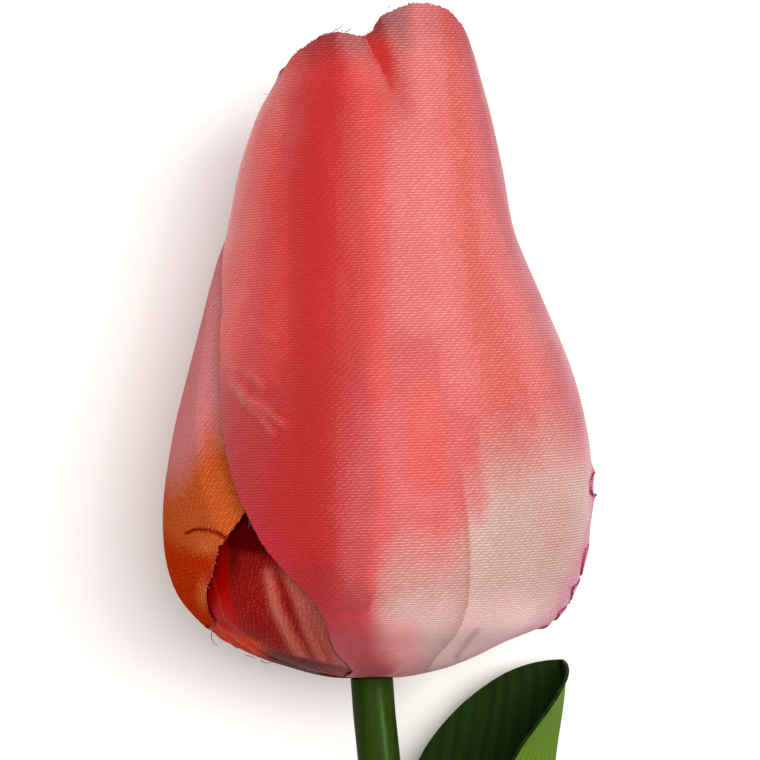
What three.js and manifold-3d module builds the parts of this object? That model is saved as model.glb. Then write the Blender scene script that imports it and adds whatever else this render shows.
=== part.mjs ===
// A single artificial tulip with satin petals, lying on its back on a surface.
//
// The flower is drawn standing: x to the right, z up the bud, and the front of the bud facing -y.
// The whole flower is then laid down about x, so that its front faces up and its belly, the cut end
// of its stem and the keel of its leaf touch the surface z = 0. All sizes are millimetres.

import * as THREE from 'three';
import Module from 'manifold-3d';
import { mergeVertices } from 'three/addons/utils/BufferGeometryUtils.js';

const { degToRad, smoothstep, lerp } = THREE.MathUtils;

// How the flower lies: its base point above the surface and the pitch of its bud
const BASE = new THREE.Vector3(-0.4, 100.285, 18.45);
const PITCH = degToRad(3.4);

const PETAL_THICKNESS = 0.6;
const CLEARANCE = 0.3;

// The stem: a moulded tube over a steel wire, with a thinner peg that the petals are threaded on
const STEM_RADIUS = 2.2;
const BORE_RADIUS = 1.3;
const WIRE_RADIUS = 0.85;
const PEG_RADIUS = 1.6;
const PEG_TOP = 5.8;
const PEG_CHAMFER = 0.4;
const PLUG_DEPTH = 9;
const STEM_LENGTH = 270;
const STEM_SIDES = 12;
const STEM_STEPS = 34;
const WIRE_STEPS = 30;

// The cap inside the bud that the petals are held down by: a rim, a shoulder and a low crown, whose
// heights are counted from its base
const CAP_BASE = 4.95;
const CAP_RADIUS = 4.2;
const CAP_RIM = 0.8;
const CAP_SHOULDER = 1.8;
const CAP_SHOULDER_RADIUS = 3.2;
const CAP_CROWN_EDGE = 2.4;
const CAP_CROWN = 2.6;

// The sheath that carries the leaf, between two heights on the stem
const SHEATH_RADIUS = 3.4;
const SHEATH_SPAN = [-143, -163];
const SHEATH_STEPS = 4;

// The leaf is folded along its keel. Rows: height, the keel's x and its height above the surface,
// the half width, then for the half under the stem and for the raised half the direction in which
// it leaves the keel and how far it turns on the way to its margin, in degrees from +x upwards
const LEAF_THICKNESS = 0.6;
const LEAF_TIP_ROUND = 17;
const LEAF_COLUMNS = 12;
const LEAF_STEPS = 26;
const LEAF_ROWS = [
  [-150, 10.9, 9.55, 6.5, 270, -87, 90, 87],
  [-143, 11.3, 9.9, 7.2, 268, -84, 91, 83],
  [-125, 12.6, 7.6, 11.0, 232, -48, 97, 46],
  [-100, 14.5, 3.9, 14.5, 200, -22, 100, 26],
  [-60, 16.7, 0.0, 16.3, 178, -6, 101, 20],
  [-30, 18.1, 0.9, 16.4, 174, -2, 103, 16],
  [-10, 19.4, 3.0, 16.0, 172, 0, 102, 12],
  [-2.2, 20.2, 4.0, 16.0, 172, 0, 90, 6],
  [0.9, 20.2, 4.4, 16.0, 172, 0, 78, 0],
];

// Form of the closed bud, row by row: height, half width on the left, on the right, depth to width
const BUD_ROWS = [
  [0.0, 2.1, 2.1, 1.0],
  [0.15, 4.4, 4.0, 0.99],
  [0.85, 7.7, 7.2, 0.97],
  [1.9, 11.2, 10.1, 0.95],
  [3.6, 15.1, 13.6, 0.94],
  [5.8, 17.9, 18.5, 0.93],
  [8.8, 20.3, 20.7, 0.93],
  [13.0, 21.5, 22.1, 0.93],
  [18.5, 21.6, 22.6, 0.93],
  [25.0, 20.6, 22.3, 0.92],
  [32.0, 18.9, 20.5, 0.9],
  [39.0, 17.1, 17.6, 0.86],
  [46.0, 15.1, 14.7, 0.81],
  [52.5, 13.8, 13.4, 0.75],
  [58.5, 11.8, 12.1, 0.68],
  [63.0, 9.9, 10.9, 0.61],
  [67.0, 9.2, 9.9, 0.55],
  [71.0, 8.8, 8.9, 0.5],
];

// The front petal's side edges: height, then the azimuth of the left edge and of the right one. The
// left petal tucks under the left one
const FRONT_PETAL_EDGES = [
  [0, -48, 112],
  [0.4, -22, 103],
  [1.2, -12, 97],
  [3, -12, 95],
  [5, -14.8, 94.3],
  [7.4, -16.2, 93.6],
  [9.4, -19, 93],
  [11.4, -24.2, 92.4],
  [13.7, -29.8, 91.8],
  [17.5, -36.8, 91],
  [22, -44, 96],
  [29, -52.7, 100],
  [35, -59.5, 100],
  [39, -64.5, 100],
  [43, -76, 100],
  [47, -88, 100],
  [58, -92, 98],
  [71, -92, 97],
];

// How far either side of a row the bud's slope is read, in rows
const SLOPE_STEP = 0.05;

// Points closer together than this are one, in millimetres
const WELD = 1e-4;

// A smooth curve through rows of [key, value, value...], with the key in rising order
function through(rows) {
  const slope = (i, column) => {
    const before = rows[Math.max(i - 1, 0)];
    const after = rows[Math.min(i + 1, rows.length - 1)];
    return (after[column] - before[column]) / (after[0] - before[0]);
  };
  return (key, column = 1) => {
    const x = THREE.MathUtils.clamp(key, rows[0][0], rows[rows.length - 1][0]);
    let i = 0;
    while (i < rows.length - 2 && rows[i + 1][0] < x) i += 1;
    const step = rows[i + 1][0] - rows[i][0];
    const t = (x - rows[i][0]) / step;
    const [t2, t3] = [t * t, t * t * t];
    return (
      rows[i][column] * (2 * t3 - 3 * t2 + 1) +
      rows[i + 1][column] * (3 * t2 - 2 * t3) +
      slope(i, column) * step * (t3 - 2 * t2 + t) +
      slope(i + 1, column) * step * (t3 - t2)
    );
  };
}

const bud = through(BUD_ROWS.map((row, i) => [i, ...row]));
const LAST_ROW = BUD_ROWS.length - 1;

// The row of the bud, as a fraction, that has a given height
function rowAt(height) {
  let [low, high] = [0, LAST_ROW];
  for (let i = 0; i < 30; i += 1) {
    const middle = (low + high) / 2;
    if (bud(middle, 1) < height) low = middle;
    else high = middle;
  }
  return (low + high) / 2;
}

// A point of the bud at an azimuth (0 in front, 90 on the right), sunk below the outer form by inset
function budPoint(row, azimuth, inset) {
  const halfWidth = (at) => (bud(at, 2) + bud(at, 3)) / 2;
  const [a, b] = [Math.max(row - SLOPE_STEP, 0), Math.min(row + SLOPE_STEP, LAST_ROW)];
  const across = halfWidth(b) - halfWidth(a);
  const up = bud(b, 1) - bud(a, 1);
  const length = Math.hypot(across, up);
  const radius = halfWidth(row);
  const inward = (inset * up) / length;
  const angle = degToRad(azimuth);
  return new THREE.Vector3(
    (bud(row, 3) - bud(row, 2)) / 2 + (radius - inward) * Math.sin(angle),
    -(radius * bud(row, 4) - inward) * Math.cos(angle),
    bud(row, 1) + (inset * across) / length
  );
}

// Height of a standing point above the surface once the flower is laid down
const lyingHeight = (point) => BASE.z + point.z * Math.sin(PITCH) - point.y * Math.cos(PITCH);

// Where a point of a given height, standing, lies front to back to be as high as lift once laid down
const standingDepth = (height, lift) => (BASE.z + height * Math.sin(PITCH) - lift) / Math.cos(PITCH);

// Moves a point towards the front until it is as high as given above the surface
function raiseTo(point, height) {
  point.y -= Math.max(0, height - lyingHeight(point)) / Math.cos(PITCH);
  return point;
}

const frontPetalEdge = through(FRONT_PETAL_EDGES);

// Each petal: its layer where the bud rests, counted in millimetres from the surface, its faces
// across and up, its side edges as rows of [height, azimuth, azimuth], its top edge as rows of
// [place across from -1 to 1, height], and how deep each place of it lies below the bud's form
const PETALS = {
  petal_front: {
    layer: 0,
    columns: 20,
    rows: 20,
    edges: FRONT_PETAL_EDGES,
    top: [
      [-1, 57],
      [-0.84, 60.4],
      [-0.763, 62.7],
      [-0.64, 64.7],
      [-0.466, 66.07],
      [-0.31, 66.8],
      [-0.131, 66.64],
      [-0.055, 67.15],
      [0.0105, 68.45],
      [0.144, 69.43],
      [0.23, 69.7],
      [0.373, 69.85],
      [0.47, 69.56],
      [0.566, 69.08],
      [0.651, 68.3],
      [0.744, 67.3],
      [0.82, 65.8],
      [0.9, 63.6],
      [1, 60.5],
    ],
    inset(height, azimuth) {
      const pleat = 8 - 2 * (height - 58.5);
      const strength = smoothstep(height, 56, 65);
      const valley = Math.exp(-(((azimuth - pleat - 9) / 9) ** 2));
      const ridge = Math.exp(-(((azimuth - pleat + 7) / 9) ** 2));
      return strength * (0.75 * valley - 0.3 * ridge);
    },
  },
  petal_right: {
    layer: 0,
    columns: 14,
    rows: 16,
    edges: [
      [0, 85, 205],
      [2, 78, 201],
      [6, 72, 203],
      [20, 70, 205],
      [45, 66, 206],
      [65, 72, 198],
    ],
    top: [
      [-1, 57],
      [-0.8, 61.5],
      [-0.4, 64.6],
      [0, 65.5],
      [0.4, 64],
      [0.8, 60.5],
      [1, 56],
    ],
    inset: (height, azimuth) => lerp(1.15, 0.5, smoothstep(azimuth, 108, 130)),
  },
  petal_left: {
    layer: 1,
    columns: 16,
    rows: 20,
    edges: [
      [0, -205, -112],
      [0.9, -190, -114],
      [2.6, -180, -114],
      [4.4, -176, -104],
      [5.5, -175, -80],
      [7, -176, -62],
      [9, -177, -56.2],
      [12, -178, -48.8],
      [14.3, -178, -43.5],
      [17.5, -178, -37],
      [23, -178, -36],
      [30, -178, -42],
      [40, -176, -55],
      [50, -174, -66],
      [65, -168, -78],
    ],
    top: [
      [-1, 55],
      [-0.8, 59.5],
      [-0.4, 62.6],
      [0, 63.6],
      [0.4, 62.6],
      [0.8, 59.5],
      [1, 55],
    ],
    inset(height, azimuth) {
      const edge = frontPetalEdge(height);
      const underFront = smoothstep(azimuth, edge - 14, edge - 3);
      const underRight = 1 - smoothstep(azimuth, -152, -136);
      return -0.12 + 1.25 * underFront + 1.8 * underRight;
    },
  },
  inner_petal_left: {
    layer: 2,
    columns: 14,
    rows: 20,
    edges: [
      [0, -104, 42],
      [2, -102, 46],
      [6, -100, 46],
      [30, -104, 45],
      [62, -96, 40],
    ],
    top: [
      [-1, 50],
      [-0.7, 57],
      [0, 61],
      [0.7, 57],
      [1, 50],
    ],
    inset(height, azimuth) {
      const belowLeftPetal = lerp(0.3, 1.4, smoothstep(height, 2.6, 4.6));
      const shown = lerp(belowLeftPetal, 1.6, smoothstep(azimuth, -60, -30));
      const left = lerp(shown, 2.6, smoothstep(height, 6, 16));
      return lerp(left, 3.8, smoothstep(azimuth, -16, 20));
    },
  },
  inner_petal_right: {
    layer: 3,
    columns: 12,
    rows: 14,
    edges: [
      [0, 30, 152],
      [2, 30, 150],
      [25, 26, 150],
      [62, 30, 146],
    ],
    top: [
      [-1, 48],
      [-0.7, 55],
      [0, 58.5],
      [0.7, 55],
      [1, 48],
    ],
    inset: (height, azimuth) => lerp(2.6, 3.8, smoothstep(azimuth, 60, 126)),
  },
  inner_petal_back: {
    layer: 2,
    columns: 12,
    rows: 14,
    edges: [
      [0, 132, 266],
      [2, 133, 268],
      [30, 133, 272],
      [62, 138, 266],
    ],
    top: [
      [-1, 47],
      [-0.7, 54],
      [0, 57.5],
      [0.7, 54],
      [1, 47],
    ],
    inset: (height, azimuth) => lerp(2.6, 3.7, smoothstep(azimuth, 165, 240)),
  },
};

// A point of a petal: across from -1 to 1 and up from 0 at its claw to 1 at its top edge
function petalPoint(petal, across, up) {
  const row = up * rowAt(through(petal.top)(across));
  const height = bud(row, 1);
  const edges = through(petal.edges);
  const azimuth = lerp(edges(height, 1), edges(height, 2), (across + 1) / 2);
  return { row, azimuth, inset: petal.inset(height, azimuth) };
}

// A closed blade from two faces that are split into triangles alike, joined by a rim
function blade(columns, rows, facePoint) {
  const sheet = new THREE.PlaneGeometry(2, 1, columns, rows);
  const grid = sheet.attributes.position;
  const perFace = grid.count;
  const positions = [];
  for (const face of ['outer', 'inner']) {
    for (let i = 0; i < perFace; i += 1) {
      const point = facePoint(grid.getX(i), grid.getY(i) + 0.5, face);
      positions.push(point.x, point.y, point.z);
    }
  }
  const outer = Array.from(sheet.index.array);
  const triangles = [...outer];
  for (let i = 0; i < outer.length; i += 3) {
    triangles.push(outer[i] + perFace, outer[i + 2] + perFace, outer[i + 1] + perFace);
  }
  const rim = [];
  for (let i = 0; i < rows; i += 1) rim.push(i * (columns + 1));
  for (let i = 0; i < columns; i += 1) rim.push(rows * (columns + 1) + i);
  for (let i = rows; i > 0; i -= 1) rim.push(i * (columns + 1) + columns);
  for (let i = columns; i > 0; i -= 1) rim.push(i);
  rim.forEach((a, i) => {
    const b = rim[(i + 1) % rim.length];
    triangles.push(a, b + perFace, b, a, a + perFace, b + perFace);
  });
  const geometry = new THREE.BufferGeometry();
  geometry.setAttribute('position', new THREE.Float32BufferAttribute(positions, 3));
  geometry.setIndex(triangles);
  return geometry;
}

// A petal's cloth, as thick as the model needs it
function petalGeometry(petal) {
  return blade(petal.columns, petal.rows, (across, up, face) => {
    const { row, azimuth, inset } = petalPoint(petal, across, up);
    const depth = face === 'outer' ? 0 : PETAL_THICKNESS;
    return raiseTo(budPoint(row, azimuth, inset + depth), petal.layer + depth);
  });
}

// The stem's centre line from the peg's shoulder to the cut end
const STEM_ROUTE = new THREE.CatmullRomCurve3(
  [
    [-0.1, 0, -CLEARANCE],
    [0, 0, -4],
    [0.5, 0, -9],
    [3.4, 0.1, -40],
    [6.1, 0.2, -90],
    [6.6, 0, -150],
    [4.4, 0.1, -215],
    [1.4, 0.24, -STEM_LENGTH],
  ].map((point) => new THREE.Vector3(...point))
);

// The stem's section: a ring of straight sides, or a full one where inner is 0
function ringShape(outer, inner) {
  const corners = (radius) =>
    Array.from({ length: STEM_SIDES }, (_, i) => {
      const angle = (i / STEM_SIDES) * 2 * Math.PI;
      return new THREE.Vector2(radius * Math.cos(angle), radius * Math.sin(angle));
    });
  const shape = new THREE.Shape(corners(outer));
  if (inner) shape.holes.push(new THREE.Path(corners(inner)));
  return shape;
}

// A tube, or a rod where inner is 0, along the stem's centre line between two heights
function alongStem(outer, inner, top, bottom, steps) {
  const fraction = (height) => (-CLEARANCE - height) / (STEM_LENGTH - CLEARANCE);
  const points = [];
  for (let i = 0; i <= steps; i += 1) {
    points.push(STEM_ROUTE.getPointAt(lerp(fraction(top), fraction(bottom), i / steps)));
  }
  const route = new THREE.CatmullRomCurve3(points);
  return new THREE.ExtrudeGeometry(ringShape(outer, inner), { extrudePath: route, steps });
}

const manifoldLibrary = await Module();
manifoldLibrary.setup();

// A closed geometry as a manifold solid, for joining
function solid(geometry) {
  geometry.deleteAttribute('normal');
  geometry.deleteAttribute('uv');
  const merged = mergeVertices(geometry, WELD);
  const mesh = new manifoldLibrary.Mesh({
    numProp: 3,
    vertProperties: merged.attributes.position.array,
    triVerts: new Uint32Array(merged.index.array),
  });
  return new manifoldLibrary.Manifold(mesh);
}

// The geometry of a joined solid
function geometryOf(joined) {
  const mesh = joined.getMesh();
  const geometry = new THREE.BufferGeometry();
  geometry.setAttribute('position', new THREE.Float32BufferAttribute(mesh.vertProperties, 3));
  geometry.setIndex(new THREE.Uint32BufferAttribute(mesh.triVerts, 1));
  return geometry;
}

// Turns a profile of [radius, height] about the bud's axis
function turned(profile) {
  const points = profile.map(([radius, height]) => new THREE.Vector2(radius, height));
  return new THREE.LatheGeometry(points, STEM_SIDES).rotateX(Math.PI / 2);
}

// The stem tube, closed at its top by a plug that carries the peg
function stemTubeGeometry() {
  const tube = alongStem(STEM_RADIUS, BORE_RADIUS, -CLEARANCE, -STEM_LENGTH, STEM_STEPS);
  const peg = turned([
    [0, -PLUG_DEPTH],
    [PEG_RADIUS, -PLUG_DEPTH],
    [PEG_RADIUS, PEG_TOP - PEG_CHAMFER],
    [PEG_RADIUS - PEG_CHAMFER, PEG_TOP],
    [0, PEG_TOP],
  ]);
  return geometryOf(solid(tube).add(solid(peg)));
}

// The cap that holds the petals down on the peg
function petalCapGeometry() {
  const bore = PEG_RADIUS + CLEARANCE;
  return turned([
    [bore, CAP_BASE],
    [CAP_RADIUS, CAP_BASE],
    [CAP_RADIUS, CAP_BASE + CAP_RIM],
    [CAP_SHOULDER_RADIUS, CAP_BASE + CAP_SHOULDER],
    [bore, CAP_BASE + CAP_CROWN_EDGE],
    [0, CAP_BASE + CAP_CROWN],
    [0, PEG_TOP + CLEARANCE],
    [bore, PEG_TOP + CLEARANCE],
    [bore, CAP_BASE],
  ]);
}

const leafRow = through(LEAF_ROWS);

// A point of the leaf: across from -1 at its raised margin, over its keel at 0, to 1 at the margin
// that lies below the stem, and up from its base to its rounded tip
function leafPoint(across, up, face) {
  const side = Math.sin((across * Math.PI) / 2);
  const tip = LEAF_ROWS[LEAF_ROWS.length - 1][0];
  const base = LEAF_ROWS[0][0];
  const rounding = LEAF_TIP_ROUND * (1 - Math.sqrt(1 - side * side));
  const height = lerp(base, tip - rounding, up);
  const [keelX, keelLift, halfWidth, lowStart, lowTurn, highStart, highTurn] = [
    1, 2, 3, 4, 5, 6, 7,
  ].map((column) => leafRow(height, column));
  const low = side > 0;
  const start = degToRad(low ? lowStart : highStart);
  const bend = degToRad(low ? lowTurn : highTurn) * Math.abs(side);
  const reach = halfWidth * Math.abs(side);
  const heading = start + bend / 2;
  const chord = Math.abs(bend) > 1e-6 ? (2 * reach * Math.sin(bend / 2)) / bend : reach;
  const inward = start + bend + (low ? -Math.PI / 2 : Math.PI / 2);
  const keelInward = degToRad((lowStart + highStart) / 2);
  const keelHalfAngle = degToRad((lowStart - highStart) / 2 - 90);
  const facing = side === 0 ? keelInward : inward;
  const mitre = side === 0 ? 1 / Math.cos(keelHalfAngle) : 1;
  const depth = face === 'outer' ? 0 : LEAF_THICKNESS * mitre;
  const x = keelX + chord * Math.cos(heading) + depth * Math.cos(facing);
  const lift = Math.max(keelLift + chord * Math.sin(heading) + depth * Math.sin(facing), depth);
  return new THREE.Vector3(x, standingDepth(height, lift), height);
}

const SATIN = new THREE.MeshStandardMaterial({ color: '#d9525a', roughness: 0.5, metalness: 0 });
const INNER_SATIN = new THREE.MeshStandardMaterial({ color: '#c04a2c', roughness: 0.5, metalness: 0 });
const STEM_GREEN = new THREE.MeshStandardMaterial({ color: '#2f5a24', roughness: 0.4, metalness: 0 });
const LEAF_GREEN = new THREE.MeshStandardMaterial({ color: '#2a4a14', roughness: 0.6, metalness: 0 });
const CAP_WHITE = new THREE.MeshStandardMaterial({ color: '#cfc9a4', roughness: 0.6, metalness: 0 });
const STEEL = new THREE.MeshStandardMaterial({ color: '#8b8d90', roughness: 0.35, metalness: 1 });

const flower = new THREE.Group();

// Adds a separate piece to the flower
function add(name, geometry, material) {
  const mesh = new THREE.Mesh(geometry, material);
  mesh.name = name;
  flower.add(mesh);
}

for (const [name, petal] of Object.entries(PETALS)) {
  add(name, petalGeometry(petal), name.startsWith('inner') ? INNER_SATIN : SATIN);
}
add('petal_cap', petalCapGeometry(), CAP_WHITE);
add('stem_tube', stemTubeGeometry(), STEM_GREEN);
const wire = alongStem(WIRE_RADIUS, 0, -PLUG_DEPTH - CLEARANCE, -STEM_LENGTH, WIRE_STEPS);
add('stem_wire', wire, STEEL);
const sheath = alongStem(SHEATH_RADIUS, STEM_RADIUS + CLEARANCE, ...SHEATH_SPAN, SHEATH_STEPS);
add('leaf_sheath', sheath, STEM_GREEN);
add('leaf_blade', blade(LEAF_COLUMNS, LEAF_STEPS, leafPoint), LEAF_GREEN);

flower.rotation.x = PITCH - Math.PI / 2;
flower.position.copy(BASE);

const tulip = new THREE.Group();
tulip.add(flower);
export default tulip;
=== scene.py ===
"""A single artificial tulip with satin petals, lying on its back on a pale floor.

The flower is described standing, in millimetres: x to the right, z up the bud, the front of the bud
facing -y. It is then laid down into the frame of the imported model, in metres.
"""

import logging
import math
from collections.abc import Callable, Iterable, Sequence
from dataclasses import dataclass, field
from enum import Enum
from typing import Any

import bpy
import numpy as np
from mathutils import Matrix, Vector


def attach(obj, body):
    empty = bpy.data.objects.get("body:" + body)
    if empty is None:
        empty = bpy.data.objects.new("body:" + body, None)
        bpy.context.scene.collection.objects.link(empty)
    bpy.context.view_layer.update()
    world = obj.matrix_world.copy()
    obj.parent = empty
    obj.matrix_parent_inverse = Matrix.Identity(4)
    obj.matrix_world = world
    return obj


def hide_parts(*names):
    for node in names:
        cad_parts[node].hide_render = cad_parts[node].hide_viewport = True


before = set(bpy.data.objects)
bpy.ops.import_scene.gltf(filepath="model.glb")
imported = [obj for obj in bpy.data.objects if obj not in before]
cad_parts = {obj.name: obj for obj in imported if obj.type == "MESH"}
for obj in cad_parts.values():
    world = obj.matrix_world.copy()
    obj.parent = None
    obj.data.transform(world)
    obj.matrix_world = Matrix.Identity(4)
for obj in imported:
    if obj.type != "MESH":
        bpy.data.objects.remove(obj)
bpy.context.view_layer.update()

Rows = tuple[tuple[float, ...], ...]
Path = tuple[tuple[float, float], ...]

# A millimetre in metres
MM = 0.001
# How far a millimetre of cloth reaches on the weave's UV map
UV_PER_MM = 0.01
log = logging.getLogger("tulip")


# Numbers and curves


def smooth(value: np.ndarray, low: float, high: float) -> np.ndarray:
    """A soft step from 0 to 1.

    Args:
        value: Where to read the step.
        low: Where the step is still 0.
        high: Where the step has reached 1; it may be below low.

    Returns:
        The step's height at each value.
    """
    t = np.clip((np.asarray(value, float) - low) / (high - low), 0.0, 1.0)
    return t * t * (3.0 - 2.0 * t)


def mix(a: Any, b: Any, share: Any) -> Any:
    """The value that lies the given share of the way from a to b."""
    return a + (b - a) * share


def hump(distance: np.ndarray, width: float) -> np.ndarray:
    """A bell of height 1 and the given half width, at a distance from its middle."""
    return np.exp(-((distance / width) ** 2))


def through(rows: Rows, key: Any, column: int = 1) -> np.ndarray:
    """Reads a smooth curve through rows of numbers.

    Args:
        rows: Rows of (key, value, value...), with the key rising.
        key: Where to read the curve; it is held at the ends.
        column: Which value of the rows to read.

    Returns:
        The curve's value at each key.
    """
    table = np.array(rows, float)
    keys, values = table[:, 0], table[:, column]
    slopes = np.empty_like(values)
    slopes[1:-1] = (values[2:] - values[:-2]) / (keys[2:] - keys[:-2])
    slopes[0] = (values[1] - values[0]) / (keys[1] - keys[0])
    slopes[-1] = (values[-1] - values[-2]) / (keys[-1] - keys[-2])
    x = np.clip(np.asarray(key, float), keys[0], keys[-1])
    i = np.clip(np.searchsorted(keys, x) - 1, 0, len(keys) - 2)
    step = keys[i + 1] - keys[i]
    t = (x - keys[i]) / step
    return (
        values[i] * (2 * t**3 - 3 * t**2 + 1)
        + values[i + 1] * (3 * t**2 - 2 * t**3)
        + slopes[i] * step * (t**3 - 2 * t**2 + t)
        + slopes[i + 1] * step * (t**3 - t**2)
    )


def broken(rows: Rows, key: Any, column: int = 1) -> np.ndarray:
    """Reads a line that runs straight from row to row, as a torn edge does."""
    table = np.array(rows, float)
    return np.interp(key, table[:, 0], table[:, column])


def spaced(fine: np.ndarray, density: np.ndarray, count: int) -> np.ndarray:
    """Places that lie closer together where they are wanted.

    Args:
        fine: Evenly spaced places to choose from, in rising order.
        density: How closely the places are wanted at each of them.
        count: How many steps to make.

    Returns:
        The places, one more than the steps.
    """
    share = np.concatenate([[0], np.cumsum((density[1:] + density[:-1]) / 2)])
    return np.interp(np.linspace(0, 1, count + 1), share / share[-1], fine)


def ripple(seed: int, x: Any, y: Any = 0.0) -> np.ndarray:
    """Smooth seeded noise on a grid of spacing 1.

    Args:
        seed: Picks the pattern.
        x: First coordinate.
        y: Second coordinate.

    Returns:
        Noise from -1 to 1 at each place.
    """
    size = 257
    shift = 400
    lattice = np.random.default_rng(seed).uniform(-1, 1, (size, size))
    x, y = np.broadcast_arrays(np.asarray(x, float) + shift, np.asarray(y, float) + shift)
    i, j = np.floor(x).astype(int), np.floor(y).astype(int)
    u, v = x - i, y - j
    u, v = u * u * (3 - 2 * u), v * v * (3 - 2 * v)
    i, j, next_i, next_j = i % size, j % size, (i + 1) % size, (j + 1) % size
    low = mix(lattice[i, j], lattice[next_i, j], u)
    high = mix(lattice[i, next_j], lattice[next_i, next_j], u)
    return mix(low, high, v)


def to_path(x: np.ndarray, z: np.ndarray, path: Sequence[tuple[float, float]]) -> np.ndarray:
    """Distance from places to a line of straight stretches.

    Args:
        x: Each place's distance to the right of the bud's axis.
        z: Each place's height.
        path: The line's corners, as places (x, z).

    Returns:
        Each place's distance to the nearest stretch.
    """
    nearest = np.full(np.shape(x), np.inf)
    for (ax, az), (bx, bz) in zip(path, path[1:]):
        dx, dz = bx - ax, bz - az
        share = np.clip(((x - ax) * dx + (z - az) * dz) / (dx * dx + dz * dz), 0, 1)
        nearest = np.minimum(nearest, np.hypot(x - ax - share * dx, z - az - share * dz))
    return nearest


@dataclass(frozen=True)
class Fold:
    """A crease pressed into the cloth, seen from the front of the bud.

    Attributes:
        path: Its line, as places (x, z).
        width: Half its width.
        rise: How far it stands proud, or below 0 how deep it lies.
        fade: How far from its ends it reaches its full height.
    """

    path: Path
    width: float
    rise: float
    fade: float = 1.6

    def cover(self, x: np.ndarray, z: np.ndarray) -> np.ndarray:
        """1 along the fold's line, falling to 0 at its sides and fading towards its ends."""
        ends = [np.hypot(x - ex, z - ez) for ex, ez in (self.path[0], self.path[-1])]
        return hump(to_path(x, z, self.path), self.width) * smooth(np.minimum(*ends), 0, self.fade)

    def height(self, x: np.ndarray, z: np.ndarray) -> np.ndarray:
        """How far the cloth is lifted by the fold at each place."""
        return self.rise * self.cover(x, z)


# The pose and form that all the pieces share


@dataclass(frozen=True)
class Photograph:
    """The photograph's scale and the place that it was taken from.

    Attributes:
        scale: Millimetres of the bud that one pixel covers.
        pixels: Its width and height in pixels.
        bud_pixel: The pixel at which the bud's base lies.
        distance: From the bud's axis to the camera.
    """

    scale: float = 0.1036
    pixels: float = 760.0
    bud_pixel: tuple[float, float] = (373.0, 676.0)
    distance: float = 480.0

    def reach(self) -> float:
        """How far it shows to each side of its middle, at the bud's axis."""
        return self.pixels / 2 * self.scale

    def middle(self) -> tuple[float, float]:
        """The place at its middle: right of the bud's axis, height up the bud."""
        column, row = self.bud_pixel
        return (self.pixels / 2 - column) * self.scale, (row - self.pixels / 2) * self.scale


PHOTO = Photograph()


@dataclass(frozen=True)
class Pose:
    """How the flower lies.

    Attributes:
        base: The bud's base point, in millimetres.
        pitch: How far the bud points up from level, in radians.
    """

    base: tuple[float, float, float] = (-0.4, 100.285, 18.45)
    pitch: float = math.radians(3.4)

    def lying_height(self, points: np.ndarray) -> np.ndarray:
        """Height above the floor of standing points, once the flower is laid down."""
        sin, cos = math.sin(self.pitch), math.cos(self.pitch)
        return self.base[2] + points[..., 2] * sin - points[..., 1] * cos

    def standing_depth(self, height: np.ndarray, lift: np.ndarray) -> np.ndarray:
        """The standing y of points whose height, standing, and lift, lying, are given."""
        return (self.base[2] + height * math.sin(self.pitch) - lift) / math.cos(self.pitch)

    def rested(self, points: np.ndarray, layer: float) -> np.ndarray:
        """Moves points that would lie lower than the layer forwards until they don't.

        Args:
            points: Standing points.
            layer: The layer's height above the floor.

        Returns:
            The points, moved where they would lie too low.
        """
        lifted = points.copy()
        short = np.maximum(0, layer - self.lying_height(points))
        lifted[..., 1] -= short / math.cos(self.pitch)
        return lifted

    def matrix(self) -> Matrix:
        """The transform from standing millimetres to the model's frame in metres."""
        turn = Matrix.Rotation(self.pitch - math.pi / 2, 4, "X")
        return Matrix.Translation(Vector(self.base) * MM) @ turn @ Matrix.Scale(MM, 4)

    def in_view(self, points: np.ndarray) -> tuple[np.ndarray, np.ndarray]:
        """Where the photograph shows standing points, in millimetres at the bud's axis.

        Args:
            points: Standing points, with x, y and z on the last axis.

        Returns:
            For each point, its place to the right of the axis and its height up the bud as they
            look from the camera, to which the bud's front is nearer than its sides.
        """
        across, up = PHOTO.middle()
        nearness = PHOTO.distance / (PHOTO.distance + points[..., 1])
        return (
            (points[..., 0] - across) * nearness + across,
            (points[..., 2] - up) * nearness + up,
        )

    def axes(self) -> tuple[Vector, Vector]:
        """Two directions of the bud in the model's frame.

        Returns:
            The direction that the bud points in and the one that its front faces.
        """
        along = Vector((0, math.cos(self.pitch), math.sin(self.pitch)))
        front = Vector((0, -math.sin(self.pitch), math.cos(self.pitch)))
        return along, front


POSE = Pose()


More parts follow.
